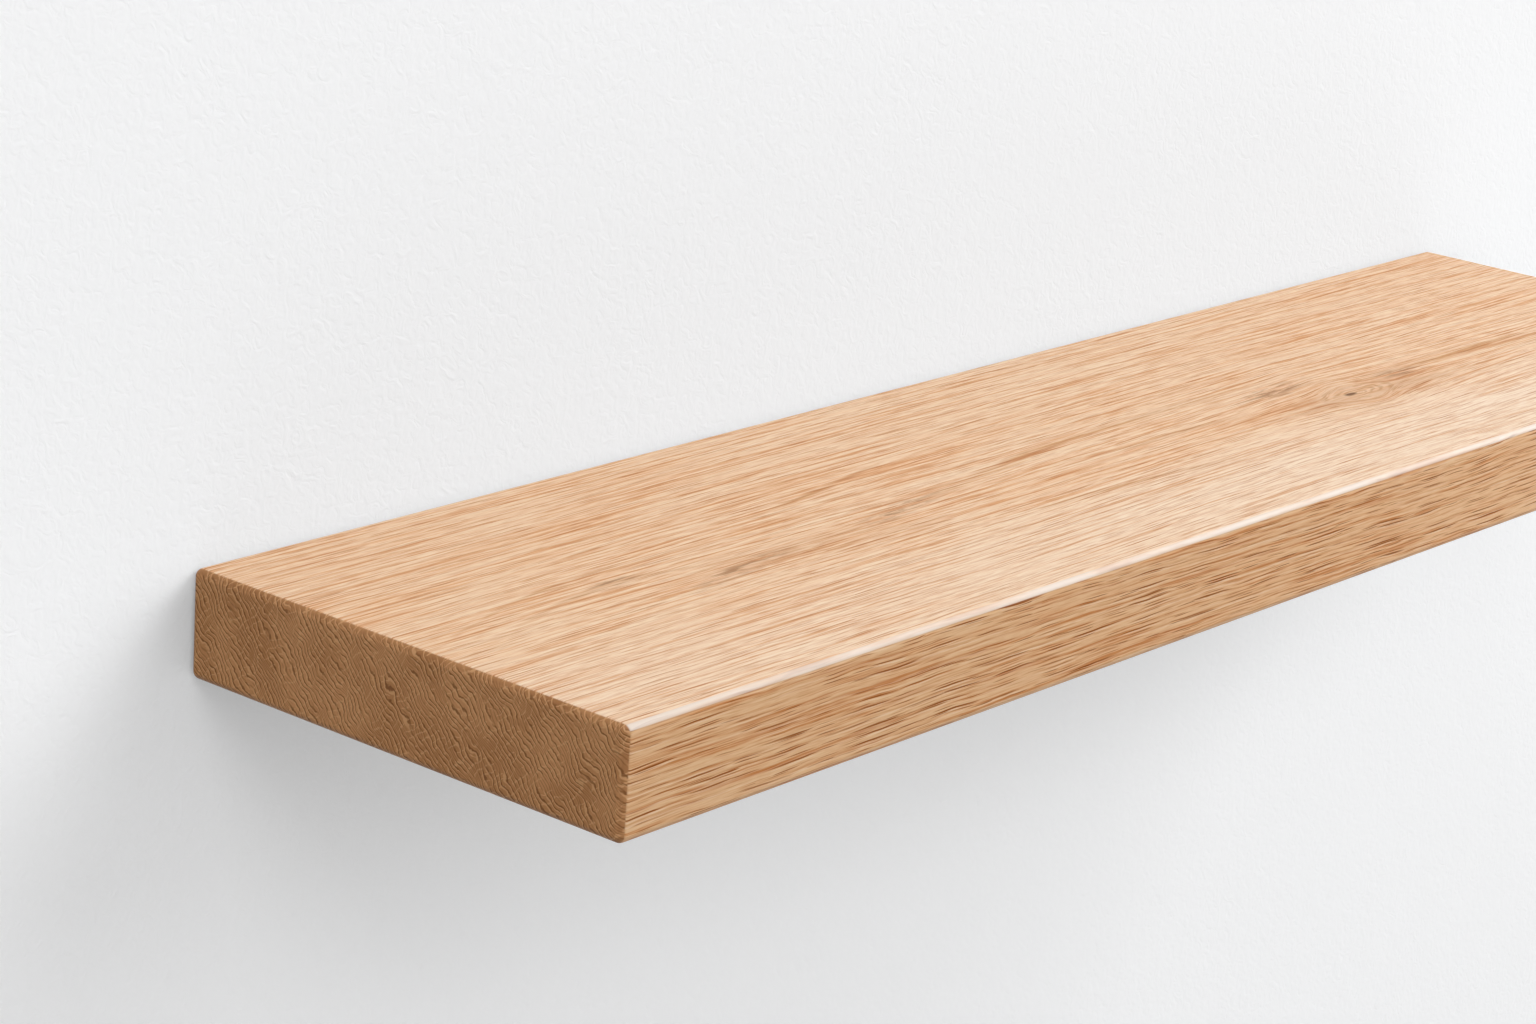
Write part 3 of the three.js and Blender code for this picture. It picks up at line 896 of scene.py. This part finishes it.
# %% [markdown]
# Pieces are built as bmeshes and then handed over the same way: the mesh is made, shaded smooth with
# crisp edges kept, given its finish and hung on the body it moves with, and the piece of the
# construction that it stands for is hidden. The cutting helper is a workshop's way of making holes: one
# tool shape after another is taken out of the stock by a Boolean modifier, and the result is kept as a
# plain mesh.

# %% Helpers for pieces
CREASE_ANGLE = math.radians(38)
SLIVER = 0.002 * MM


def hand_over(stock, name, node, body, slot, weighted=False):
    piece = from_stock(stock, name)
    piece.data.shade_smooth()
    piece.data.set_sharp_from_angle(angle=CREASE_ANGLE)
    piece.data.materials.append(finishes[slot])
    if weighted:
        piece.modifiers.new("flat_faces_stay_flat", "WEIGHTED_NORMAL").keep_sharp = True
    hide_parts(node)
    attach(piece, body)
    print("piece:", name, "with", len(piece.data.polygons), "faces")


def cut_away(stock, tools):
    body = from_stock(stock, "stock")
    cutters = [from_stock(tool, "tool") for tool in tools]
    for cutter in cutters:
        cut = body.modifiers.new("cut", "BOOLEAN")
        cut.operation = "DIFFERENCE"
        cut.solver = "EXACT"
        cut.object = cutter
    result = bmesh.new()
    result.from_object(body, bpy.context.evaluated_depsgraph_get())
    bmesh.ops.dissolve_degenerate(result, dist=SLIVER, edges=result.edges)
    for used in [body, *cutters]:
        bpy.data.meshes.remove(used.data)
    return result


def block(size, centre):
    stock = bmesh.new()
    bmesh.ops.create_cube(stock, size=1.0)
    bmesh.ops.scale(stock, vec=size, verts=stock.verts)
    return placed(stock, Matrix.Translation(centre))


def edges_into_wall(stock):
    return [edge for edge in stock.edges if abs(edge.verts[0].co.y - edge.verts[1].co.y) > MM]


def rounded(stock, edges, radius, segments):
    bmesh.ops.bevel(
        stock, geom=edges, offset=radius, segments=segments, profile=0.5, affect="EDGES", material=-1
    )
    return stock


# %% [markdown]
# Most of the hardware is round, so it is turned, as on a lathe: half an outline is drawn as a line of
# points, and a spin round the axis sweeps it into a solid. One outline gives a whole part with all its
# chamfers and rings, so a new size is only a new number in the outline.

# %% Helpers for turned parts
WELDED = 0.001 * MM
NO_TURN = Matrix.Identity(4)


def quarter_oval(centre, width, height, steps):
    """Points of a turning profile, from the oval's outermost point up to its highest."""
    angles = [QUARTER_TURN * step / steps for step in range(steps + 1)]
    return [(centre[0] + width * math.cos(a), centre[1] + height * math.sin(a)) for a in angles]


def spun(points, closed, **how):
    """Points (radius, height) joined by a line, which is then spun round Z."""
    stock = bmesh.new()
    corners = [stock.verts.new((radius, 0, height)) for radius, height in points]
    ends = corners[1:] + corners[:1] if closed else corners[1:]
    edges = [stock.edges.new(pair) for pair in zip(corners, ends)]
    bmesh.ops.spin(stock, geom=corners + edges, cent=(0, 0, 0), axis=(0, 0, 1), **how)
    return stock


def turned(profile, facets, placement=NO_TURN):
    """A solid of revolution, as from a lathe, set in its place."""
    stock = spun(profile, False, angle=math.tau, steps=facets, use_merge=True)
    bmesh.ops.remove_doubles(stock, verts=stock.verts, dist=WELDED)
    bmesh.ops.recalc_face_normals(stock, faces=stock.faces)
    return placed(stock, placement)


# %% [markdown]
# The board starts as a block with all its edges rounded by the same small radius, as a router bit and
# a sander leave them. Its back has a rebate, milled with a 12 mm cutter, so its corners are round.
# The rod bores are drilled from the rebate's floor, and two stepped holes from below reach the outer
# rods: wide for the brass insert, then narrow for the screw.

# %% Oak board
EDGE_RADIUS = 3 * MM
REBATE_GAP = 0.75 * MM
REBATE_END_GAP = 6 * MM
REBATE_DEPTH = 12 * MM
REBATE_CORNER = 6 * MM
ROUNDING_SEGMENTS = 8
BORE_RADIUS = 6.25 * MM
BORE_END = 163 * MM
BORE_POINT = 3 * MM
LEAD_IN = 1 * MM
OVERRUN = 4 * MM
LOCK_SETBACK = 45 * MM
INSERT_HOLE_RADIUS = 4.7 * MM
INSERT_HOLE_DEPTH = 10.5 * MM
SCREW_WAY_RADIUS = 3.5 * MM
BORE_FACETS = 64
LOCK_SIDES = ("left", "right")


def middle_x(low, high):
    return (low.x + high.x) / 2


board_low, board_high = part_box("oak_board")
bar_low, bar_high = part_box("bracket_bar")
board_size = board_high - board_low
bar_size = bar_high - bar_low
rod_places = {side: middle_x(*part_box("bracket_rod_" + side)) for side in ("left", "middle", "right")}


def rebate_tool():
    size = Vector((bar_size.x + 2 * REBATE_END_GAP, REBATE_DEPTH + OVERRUN, bar_size.z + 2 * REBATE_GAP))
    tool = block(size, (0, (OVERRUN - REBATE_DEPTH) / 2, 0))
    return rounded(tool, edges_into_wall(tool), REBATE_CORNER, ROUNDING_SEGMENTS)


def bore_tool(x):
    start = REBATE_DEPTH - OVERRUN
    mouth = BORE_RADIUS + LEAD_IN
    profile = [(0, start), (mouth, start), (mouth, REBATE_DEPTH), (BORE_RADIUS, REBATE_DEPTH + LEAD_IN)]
    profile += [(BORE_RADIUS, BORE_END), (0, BORE_END + BORE_POINT)]
    return turned(profile, BORE_FACETS, Matrix.Translation((x, 0, 0)) @ OUT_OF_WALL)


def lock_hole_tool(x):
    top = board_size.z / 2
    profile = [(0, -OVERRUN), (INSERT_HOLE_RADIUS, -OVERRUN), (INSERT_HOLE_RADIUS, INSERT_HOLE_DEPTH)]
    profile += [(SCREW_WAY_RADIUS, INSERT_HOLE_DEPTH), (SCREW_WAY_RADIUS, top), (0, top)]
    return turned(profile, BORE_FACETS, Matrix.Translation((x, -LOCK_SETBACK, board_low.z)))


plank = block(board_size, (board_low + board_high) / 2)
rounded(plank, list(plank.edges), EDGE_RADIUS, ROUNDING_SEGMENTS)
tools = [rebate_tool()] + [bore_tool(x) for x in rod_places.values()]
tools += [lock_hole_tool(rod_places[side]) for side in LOCK_SIDES]
hand_over(cut_away(plank, tools), "board_of_oak", "oak_board", "board", "oak", weighted=True)

# %% [markdown]
# Small parts share two effects, so each is a group: a fine grain that varies gloss and colour, and a
# coat texture, the faint orange peel of a sprayed and baked powder. Each finish places them with its
# own sizes and tints.

# %% Effects that the hardware shares
SPECKLE_RAMP = (0.35, 0.65)
GRIT_FINENESS = 4.0
GRIT_SHARE = 0.25


def even_noise(place, scale, **more):
    return add_node("ShaderNodeTexNoise", {"Vector": place, "Scale": scale} | more)["Fac"]


sizes = {"Place": ORIGIN, "Grain Size": 2 * MM, "Low": 0.3, "High": 0.5}
speckle_group, group_in = new_group("speckle", sizes, "Share", "Roughness")
cells = calc("DIVIDE", 1.0, group_in["Grain Size"])
share = even_noise(group_in["Place"], cells, Detail=4.0, Roughness=0.6)
share = smooth_step(share, *SPECKLE_RAMP)
rough = mix_number(share, group_in["Low"], group_in["High"])
finish_group({"Share": share, "Roughness": rough})

sizes = {"Place": ORIGIN, "Peel Size": 0.8 * MM}
coat_group, group_in = new_group("coat_texture", sizes, "Height")
cells = calc("DIVIDE", 1.0, group_in["Peel Size"])
peel = even_noise(group_in["Place"], cells, Detail=1.0)
grit = even_noise(group_in["Place"], times(cells, GRIT_FINENESS), Detail=2.0)
finish_group({"Height": plus(peel, times(grit, GRIT_SHARE))})

# %% [markdown]
# Five finishes: black powder coat on the bracket, bright zinc on the screws and washers, grey nylon for
# the plugs, turned brass for the inserts and black oxide on the lock screws. Each mixes two near tones
# by the speckle, because no real surface has one colour. A row of the table gives the finish its two
# tones, its grain's size, its lowest and highest roughness, its relief's height, its peel's size, all
# sizes in millimetres, and how metallic it is.

# %% Hardware finishes
FINISHES = {
    "bracket_steel": (
        "black_powder_coat", (0.022, 0.023, 0.025), (0.034, 0.035, 0.037), 6, (0.42, 0.56), 0.06, 0.8, 0.0
    ),
    "zinc_steel": (
        "bright_zinc", (0.52, 0.55, 0.59), (0.66, 0.67, 0.66), 1.5, (0.24, 0.42), 0.012, 0.3, 1.0
    ),
    "nylon": ("grey_nylon", (0.30, 0.32, 0.335), (0.36, 0.38, 0.39), 4, (0.42, 0.55), 0.02, 0.5, 0.0),
    "brass": ("turned_brass", (0.62, 0.40, 0.115), (0.74, 0.50, 0.17), 1.2, (0.22, 0.38), 0.01, 0.3, 1.0),
    "dark_steel": (
        "black_oxide", (0.030, 0.031, 0.034), (0.052, 0.050, 0.048), 1.2, (0.28, 0.45), 0.01, 0.3, 0.7
    ),
}
PEEL_STRENGTH = 0.6


def speckled(name, dark, light, grain_size, gloss, relief_height, peel_size, metallic):
    material = new_material(name)
    place = add_node("ShaderNodeTexCoord")["Object"]
    settings = {"Place": place, "Grain Size": grain_size * MM, "Low": gloss[0], "High": gloss[1]}
    speckle = placed_group(speckle_group, settings)
    height = placed_group(coat_group, {"Place": place, "Peel Size": peel_size * MM})["Height"]
    colour = mix_colour(speckle["Share"], (*dark, 1), (*light, 1))
    surface = {"Base Color": colour, "Roughness": speckle["Roughness"], "Metallic": metallic}
    surface["Normal"] = bump(height, relief_height * MM, PEEL_STRENGTH)
    add_surface(add_node("ShaderNodeBsdfPrincipled", surface))
    return material


finishes |= {slot: speckled(*row) for slot, row in FINISHES.items()}

# %% [markdown]
# The bar is flat steel cut from strip. Four holes take the wall screws, and the outer two are slots, so
# that the bar can be levelled before its screws are tightened. The holes are cut first, and then every
# sharp edge gets a small bevel: a deburred edge catches a line of light that a knife edge never shows.

# %% Bracket bar
BAR_CORNER = 2 * MM
BAR_CORNER_SEGMENTS = 6
BAR_EDGE = 0.4 * MM
BAR_EDGE_SEGMENTS = 3
HOLE_RADIUS = 2.9 * MM
SLOT_TRAVEL = 6 * MM
HOLE_FACETS = 40

screw_places = [middle_x(*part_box(f"wall_screw_{number}")) for number in range(1, 5)]


def slot_tool(x):
    """A round cutter for an inner hole; for an outer one, its halves stand apart."""
    travel = SLOT_TRAVEL if abs(x) > max(screw_places) - MM else 0.0
    tool = bmesh.new()
    bmesh.ops.create_circle(tool, cap_ends=True, radius=HOLE_RADIUS, segments=HOLE_FACETS)
    for corner in tool.verts:
        corner.co.x += math.copysign(travel / 2, corner.co.x)
    placed(tool, Matrix.Translation((x, OVERRUN, 0)) @ OUT_OF_WALL)
    pushed = bmesh.ops.extrude_face_region(tool, geom=list(tool.faces))
    moved = [item for item in pushed["geom"] if isinstance(item, bmesh.types.BMVert)]
    bmesh.ops.translate(tool, vec=(0, -bar_size.y - 2 * OVERRUN, 0), verts=moved)
    bmesh.ops.recalc_face_normals(tool, faces=tool.faces)
    return tool


strip = block(bar_size, (bar_low + bar_high) / 2)
rounded(strip, edges_into_wall(strip), BAR_CORNER, BAR_CORNER_SEGMENTS)
strip = cut_away(strip, [slot_tool(x) for x in screw_places])
sharp = [edge for edge in strip.edges if edge.calc_face_angle(0.0) > CREASE_ANGLE]
rounded(strip, sharp, BAR_EDGE, BAR_EDGE_SEGMENTS)
hand_over(strip, "steel_bar", "bracket_bar", "bracket", "bracket_steel", weighted=True)

# %% [markdown]
# Each rod is turned with a chamfer at its tip, so that it finds its bore. At its foot lies the weld, a
# ring of overlapping puddles that set one after another. The ring is turned as a plain bead with the
# rod, and then its points are drawn in and out round the rod, which leaves the scales of a real weld.

# %% Rods with their welds
ROD_RADIUS = 6 * MM
ROD_LENGTH = 150 * MM
TIP_CHAMFER = 1.5 * MM
BEAD_RADIUS = 3 * MM
BEAD_STEPS = 10
ROD_FACETS = 132
PUDDLES = 22
PUDDLE_DEPTH = 0.45 * MM
PUDDLE_LEAN = 0.9
ON_THE_BEAD = 0.01 * MM


def drawn_in(corner, reach, target):
    """Moves a corner along its radius, from the distance reach to the distance target."""
    corner.co.x *= target / reach
    corner.co.y *= target / reach


def puddled(stock):
    """Draws the bead in between one puddle and the next; the dips lean, as a weld's scales do."""
    for corner in stock.verts:
        reach = math.hypot(corner.co.x, corner.co.y)
        if reach <= ROD_RADIUS + ON_THE_BEAD or corner.co.z < ON_THE_BEAD:
            continue
        climb = math.atan2(corner.co.z, reach - ROD_RADIUS)
        turn = math.atan2(corner.co.y, corner.co.x)
        dip = (1 - math.cos(PUDDLES * turn + PUDDLE_LEAN * math.sin(2 * climb))) / 2
        share = 1 - PUDDLE_DEPTH / BEAD_RADIUS * dip**3 * math.sin(2 * climb)
        drawn_in(corner, reach, ROD_RADIUS + (reach - ROD_RADIUS) * share)
        corner.co.z *= share
    return stock


def rod(x):
    bead = quarter_oval((ROD_RADIUS, 0), BEAD_RADIUS, BEAD_RADIUS, BEAD_STEPS)
    tip = [(ROD_RADIUS, ROD_LENGTH - TIP_CHAMFER), (ROD_RADIUS - TIP_CHAMFER, ROD_LENGTH)]
    stock = puddled(turned([(0, 0), *bead, *tip, (0, ROD_LENGTH)], ROD_FACETS))
    return placed(stock, Matrix.Translation((x, bar_low.y, 0)) @ OUT_OF_WALL)


for side, x in rod_places.items():
    hand_over(rod(x), "rod_" + side, "bracket_rod_" + side, "bracket", "bracket_steel")

# %% [markdown]
# A thread is a small ridge wound round a core. A spin that also moves along its axis winds it: a
# three-cornered section is turned many times while it climbs one pitch a turn. Then the two ends are
# closed and eased down to the core, as a rolled thread runs out, and on a pointed screw the ridge
# follows the point inwards.

# %% Threads
THREAD_STEPS = 24
THREAD_FOOT = 0.36
THREAD_SUNK = 0.15 * MM
RUN_OUT_TURNS = 0.6
RUN_OUT_LEAST = 0.05


def thread(core, crest, pitch, start, turns, point_from=None, point_at=None):
    """A ridge from radius core to crest that climbs pitch a turn from height start; crest may be inside."""
    root = core + math.copysign(THREAD_SUNK, core - crest)
    half = THREAD_FOOT * pitch
    section = [(root, start - half), (crest, start), (root, start + half)]
    steps = round(THREAD_STEPS * turns)
    climb = (0, 0, pitch * turns / steps)
    ridge = spun(section, True, dvec=climb, angle=math.tau * turns, steps=steps)
    bmesh.ops.holes_fill(ridge, edges=[edge for edge in ridge.edges if edge.is_boundary], sides=0)
    for corner in ridge.verts:
        reach = math.hypot(corner.co.x, corner.co.y)
        share_of_turn = math.atan2(corner.co.y, corner.co.x) / math.tau
        turn = round((corner.co.z - start) / pitch - share_of_turn) + share_of_turn
        ease = min(1.0, turn / RUN_OUT_TURNS, (turns - turn) / RUN_OUT_TURNS)
        target = root + (reach - root) * max(ease, RUN_OUT_LEAST)
        if point_at is not None and corner.co.z > point_from:
            target *= (point_at - corner.co.z) / (point_at - point_from)
        drawn_in(corner, reach, target)
    bmesh.ops.recalc_face_normals(ridge, faces=ridge.faces)
    return ridge


def joined(*parts):
    """One bmesh that holds every part's shell."""
    whole = bmesh.new()
    for part in parts:
        mesh = bpy.data.meshes.new("part")
        part.to_mesh(mesh)
        part.free()
        whole.from_mesh(mesh)
        bpy.data.meshes.remove(mesh)
    return whole


# %% [markdown]
# The wall screw has a domed pan head with a cross recess, a short smooth neck and a coarse thread that
# bites into the plug. The washer under it spreads the load over the slot. Both are turned, and the
# recess is cut with two crossed wings that narrow towards their tips.

# %% Wall screws and washers
HEAD_RADIUS = 4.75 * MM
HEAD_HEIGHT = 3.8 * MM
HEAD_RIM_HEIGHT = 1.4 * MM
HEAD_RIM_SOFTNESS = 0.3 * MM
DOME_STEPS = 12
RECESS_SIZE = (4.6 * MM, 1.1 * MM, 4.4 * MM)
RECESS_TIP = (0.55, 0.8, 1)
NECK_RADIUS = 2.2 * MM
NECK_ROOT = -0.8 * MM
NECK_LENGTH = 7 * MM
NECK_END = 7.5 * MM
SHANK_CORE = 1.7 * MM
SHANK_CREST = 2.48 * MM
SHANK_PITCH = 2.2 * MM
SHANK_THREAD = (8.5 * MM, 58 * MM)
SCREW_POINT = (53 * MM, 60 * MM)
HALF_TURN = Matrix.Rotation(math.pi, 4, "X")
TURNED_FACETS = 56
WASHER_RADIUS = 7.5 * MM
WASHER_THICKNESS = 1.2 * MM
WASHER_EDGE = 0.3 * MM


def pan_head():
    """The head stands on z = 0, its dome upwards."""
    foot = [(0, 0), (HEAD_RADIUS - HEAD_RIM_SOFTNESS, 0), (HEAD_RADIUS, HEAD_RIM_SOFTNESS)]
    highlight = (0, HEAD_RIM_HEIGHT)
    dome = quarter_oval(highlight, HEAD_RADIUS, HEAD_HEIGHT - HEAD_RIM_HEIGHT, DOME_STEPS)
    return turned(foot + dome, TURNED_FACETS)


def recess_wing(turn):
    wing = block(RECESS_SIZE, (0, 0, HEAD_HEIGHT))
    tips = [corner for corner in wing.verts if corner.co.z < HEAD_HEIGHT]
    bmesh.ops.scale(wing, vec=RECESS_TIP, verts=tips)
    return placed(wing, Matrix.Rotation(turn, 4, "Z"))


def wall_screw(x):
    """Head and shank in two shells: the neck starts inside the head, so no gap shows between them."""
    head = cut_away(pan_head(), [recess_wing(0), recess_wing(QUARTER_TURN)])
    core = [(0, NECK_ROOT), (NECK_RADIUS, NECK_ROOT), (NECK_RADIUS, NECK_LENGTH)]
    core += [(SHANK_CORE, NECK_END), (SHANK_CORE, SCREW_POINT[0]), (0, SCREW_POINT[1])]
    shank = turned(core, TURNED_FACETS, HALF_TURN)
    start, end = SHANK_THREAD
    turns = (end - start) / SHANK_PITCH
    ridge = thread(SHANK_CORE, SHANK_CREST, SHANK_PITCH, start, turns, *SCREW_POINT)
    stock = joined(head, shank, placed(ridge, HALF_TURN))
    return placed(stock, Matrix.Translation((x, bar_low.y - WASHER_THICKNESS, 0)) @ OUT_OF_WALL)


def washer(x):
    inner, outer, top, edge = HOLE_RADIUS, WASHER_RADIUS, WASHER_THICKNESS, WASHER_EDGE
    profile = [(inner, edge), (inner + edge, 0), (outer - edge, 0), (outer, edge), (outer, top - edge)]
    profile += [(outer - edge, top), (inner + edge, top), (inner, top - edge), (inner, edge)]
    return turned(profile, TURNED_FACETS, Matrix.Translation((x, bar_low.y, 0)) @ OUT_OF_WALL)


for number, x in enumerate(screw_places, start=1):
    hand_over(wall_screw(x), f"screw_{number}", f"wall_screw_{number}", "bracket", "zinc_steel")
    hand_over(washer(x), f"washer_{number}", f"wall_washer_{number}", "bracket", "zinc_steel")

# %% [markdown]
# The plug is a nylon sleeve with a smooth collar, saw-toothed rings that grip the hole, and two crossed
# slots in its middle, which let the screw spread it into four jaws. Its outline is a lathe profile that
# a short loop writes, tooth by tooth, and the slots are cut with two thin blades.

# %% Wall plugs
PLUG_RADIUS = 4 * MM
PLUG_LENGTH = 40 * MM
PLUG_SINK = 3 * MM
PLUG_BORE = 2.8 * MM
PLUG_MOUTH = 0.4 * MM
COLLAR_EASE = 0.3 * MM
COLLAR_LENGTH = 4 * MM
NOSE_LENGTH = 4 * MM
NOSE_RADIUS = 3.2 * MM
TOOTH_LENGTH = 2.6 * MM
TOOTH_DEPTH = 0.55 * MM
TOOTH_STEP = 0.15 * MM
TOOTH_TIP = 0.1 * MM
SLOT_WIDTH = 1.0 * MM
SLOT_FROM = 9 * MM
SLOT_TO = 35 * MM
INTO_WALL = Matrix.Rotation(-QUARTER_TURN, 4, "X")


def plug(x):
    teeth_length = PLUG_LENGTH - NOSE_LENGTH - COLLAR_LENGTH
    teeth = round(teeth_length / TOOTH_LENGTH)
    profile = [(PLUG_BORE + PLUG_MOUTH, 0), (PLUG_RADIUS - COLLAR_EASE, 0), (PLUG_RADIUS, COLLAR_EASE)]
    profile.append((PLUG_RADIUS, COLLAR_LENGTH))
    for tooth in range(teeth):
        foot = COLLAR_LENGTH + tooth * teeth_length / teeth
        end = foot + teeth_length / teeth
        profile += [(PLUG_RADIUS - TOOTH_DEPTH, foot + TOOTH_STEP), (PLUG_RADIUS, end - TOOTH_TIP)]
        profile.append((PLUG_RADIUS, end))
    profile += [(NOSE_RADIUS, PLUG_LENGTH), (PLUG_BORE, PLUG_LENGTH), (PLUG_BORE, PLUG_MOUTH), profile[0]]
    middle = (0, 0, (SLOT_FROM + SLOT_TO) / 2)
    sides = ((SLOT_WIDTH, 3 * PLUG_RADIUS), (3 * PLUG_RADIUS, SLOT_WIDTH))
    blades = [block((*side, SLOT_TO - SLOT_FROM), middle) for side in sides]
    stock = cut_away(turned(profile, TURNED_FACETS), blades)
    placed(stock, Matrix.Rotation(math.radians(45), 4, "Z"))
    return placed(stock, Matrix.Translation((x, PLUG_SINK, 0)) @ INTO_WALL)


for number, x in enumerate(screw_places, start=1):
    hand_over(plug(x), f"plug_{number}", f"wall_plug_{number}", "bracket", "nylon")

# %% [markdown]
# Two brass inserts are screwed into the underside. Each has a coarse thread outside that holds in the
# wood, a fine thread inside, and a slot across its face for the driver that sets it. A headless screw
# with a hexagon socket turns in each insert and presses on the rod above, which locks the board.

# %% Inserts and lock screws
INSERT_RADIUS = 4.5 * MM
INSERT_EASE = 0.2 * MM
INSERT_COLLAR = (1.6 * MM, 2.0 * MM)
INSERT_CORE = 4.0 * MM
INSERT_LENGTH = 10 * MM
INSERT_BORE = 3.2 * MM
INSERT_CHAMFER = 0.6 * MM
OUTER_THREAD = {"pitch": 2.5 * MM, "start": 3.4 * MM, "turns": 2.1}
INNER_THREAD = {"pitch": 1.0 * MM, "start": 2.2 * MM, "turns": 7.0}
INNER_CREST = 3.06 * MM
LOCK_THREAD = {"pitch": 1.0 * MM, "start": 0.7 * MM, "turns": 8.6}
LOCK_RADIUS = 3.0 * MM
LOCK_CORE = 2.6 * MM
LOCK_LENGTH = 10 * MM
LOCK_CHAMFER = 0.8 * MM
SOCKET_RADIUS = 1.73 * MM
SOCKET_DEPTH = 4 * MM
DRIVE_SLOT = (1.2 * MM, 1.4 * MM)


def stood_in(low, high, stock):
    """Stands a part in the middle of its box's underside."""
    centre = (low + high) / 2
    return placed(stock, Matrix.Translation((centre.x, centre.y, low.z)))


def insert():
    profile = [(INSERT_BORE + INSERT_CHAMFER, 0), (INSERT_RADIUS - INSERT_EASE, 0)]
    profile += [(INSERT_RADIUS, INSERT_EASE), (INSERT_RADIUS, INSERT_COLLAR[0])]
    profile += [(INSERT_CORE, INSERT_COLLAR[1]), (INSERT_CORE, INSERT_LENGTH - INSERT_CHAMFER)]
    profile += [(INSERT_CORE - INSERT_CHAMFER, INSERT_LENGTH), (INSERT_BORE, INSERT_LENGTH)]
    profile += [(INSERT_BORE, INSERT_CHAMFER), profile[0]]
    slot = block((DRIVE_SLOT[0], 3 * INSERT_RADIUS, 2 * DRIVE_SLOT[1]), (0, 0, 0))
    sleeve = cut_away(turned(profile, TURNED_FACETS), [slot])
    outer = thread(INSERT_CORE, INSERT_RADIUS, **OUTER_THREAD)
    return joined(sleeve, outer, thread(INSERT_BORE, INNER_CREST, **INNER_THREAD))


def lock_screw():
    profile = [(0, 0), (LOCK_RADIUS - LOCK_CHAMFER, 0), (LOCK_CORE, LOCK_RADIUS - LOCK_CORE)]
    profile += [(LOCK_CORE, LOCK_LENGTH - LOCK_CHAMFER), (LOCK_CORE - LOCK_CHAMFER, LOCK_LENGTH)]
    core = turned([*profile, (0, LOCK_LENGTH)], TURNED_FACETS)
    socket = bmesh.new()
    radii = {"radius1": SOCKET_RADIUS, "radius2": SOCKET_RADIUS}
    bmesh.ops.create_cone(socket, cap_ends=True, segments=6, depth=2 * SOCKET_DEPTH, **radii)
    return joined(cut_away(core, [socket]), thread(LOCK_CORE, LOCK_RADIUS, **LOCK_THREAD))


for side in LOCK_SIDES:
    brass_insert = stood_in(*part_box("lock_insert_" + side), insert())
    hand_over(brass_insert, "insert_" + side, "lock_insert_" + side, "board", "brass")
    set_screw = stood_in(*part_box("lock_screw_" + side), lock_screw())
    hand_over(set_screw, "set_screw_" + side, "lock_screw_" + side, "lock_" + side, "dark_steel")
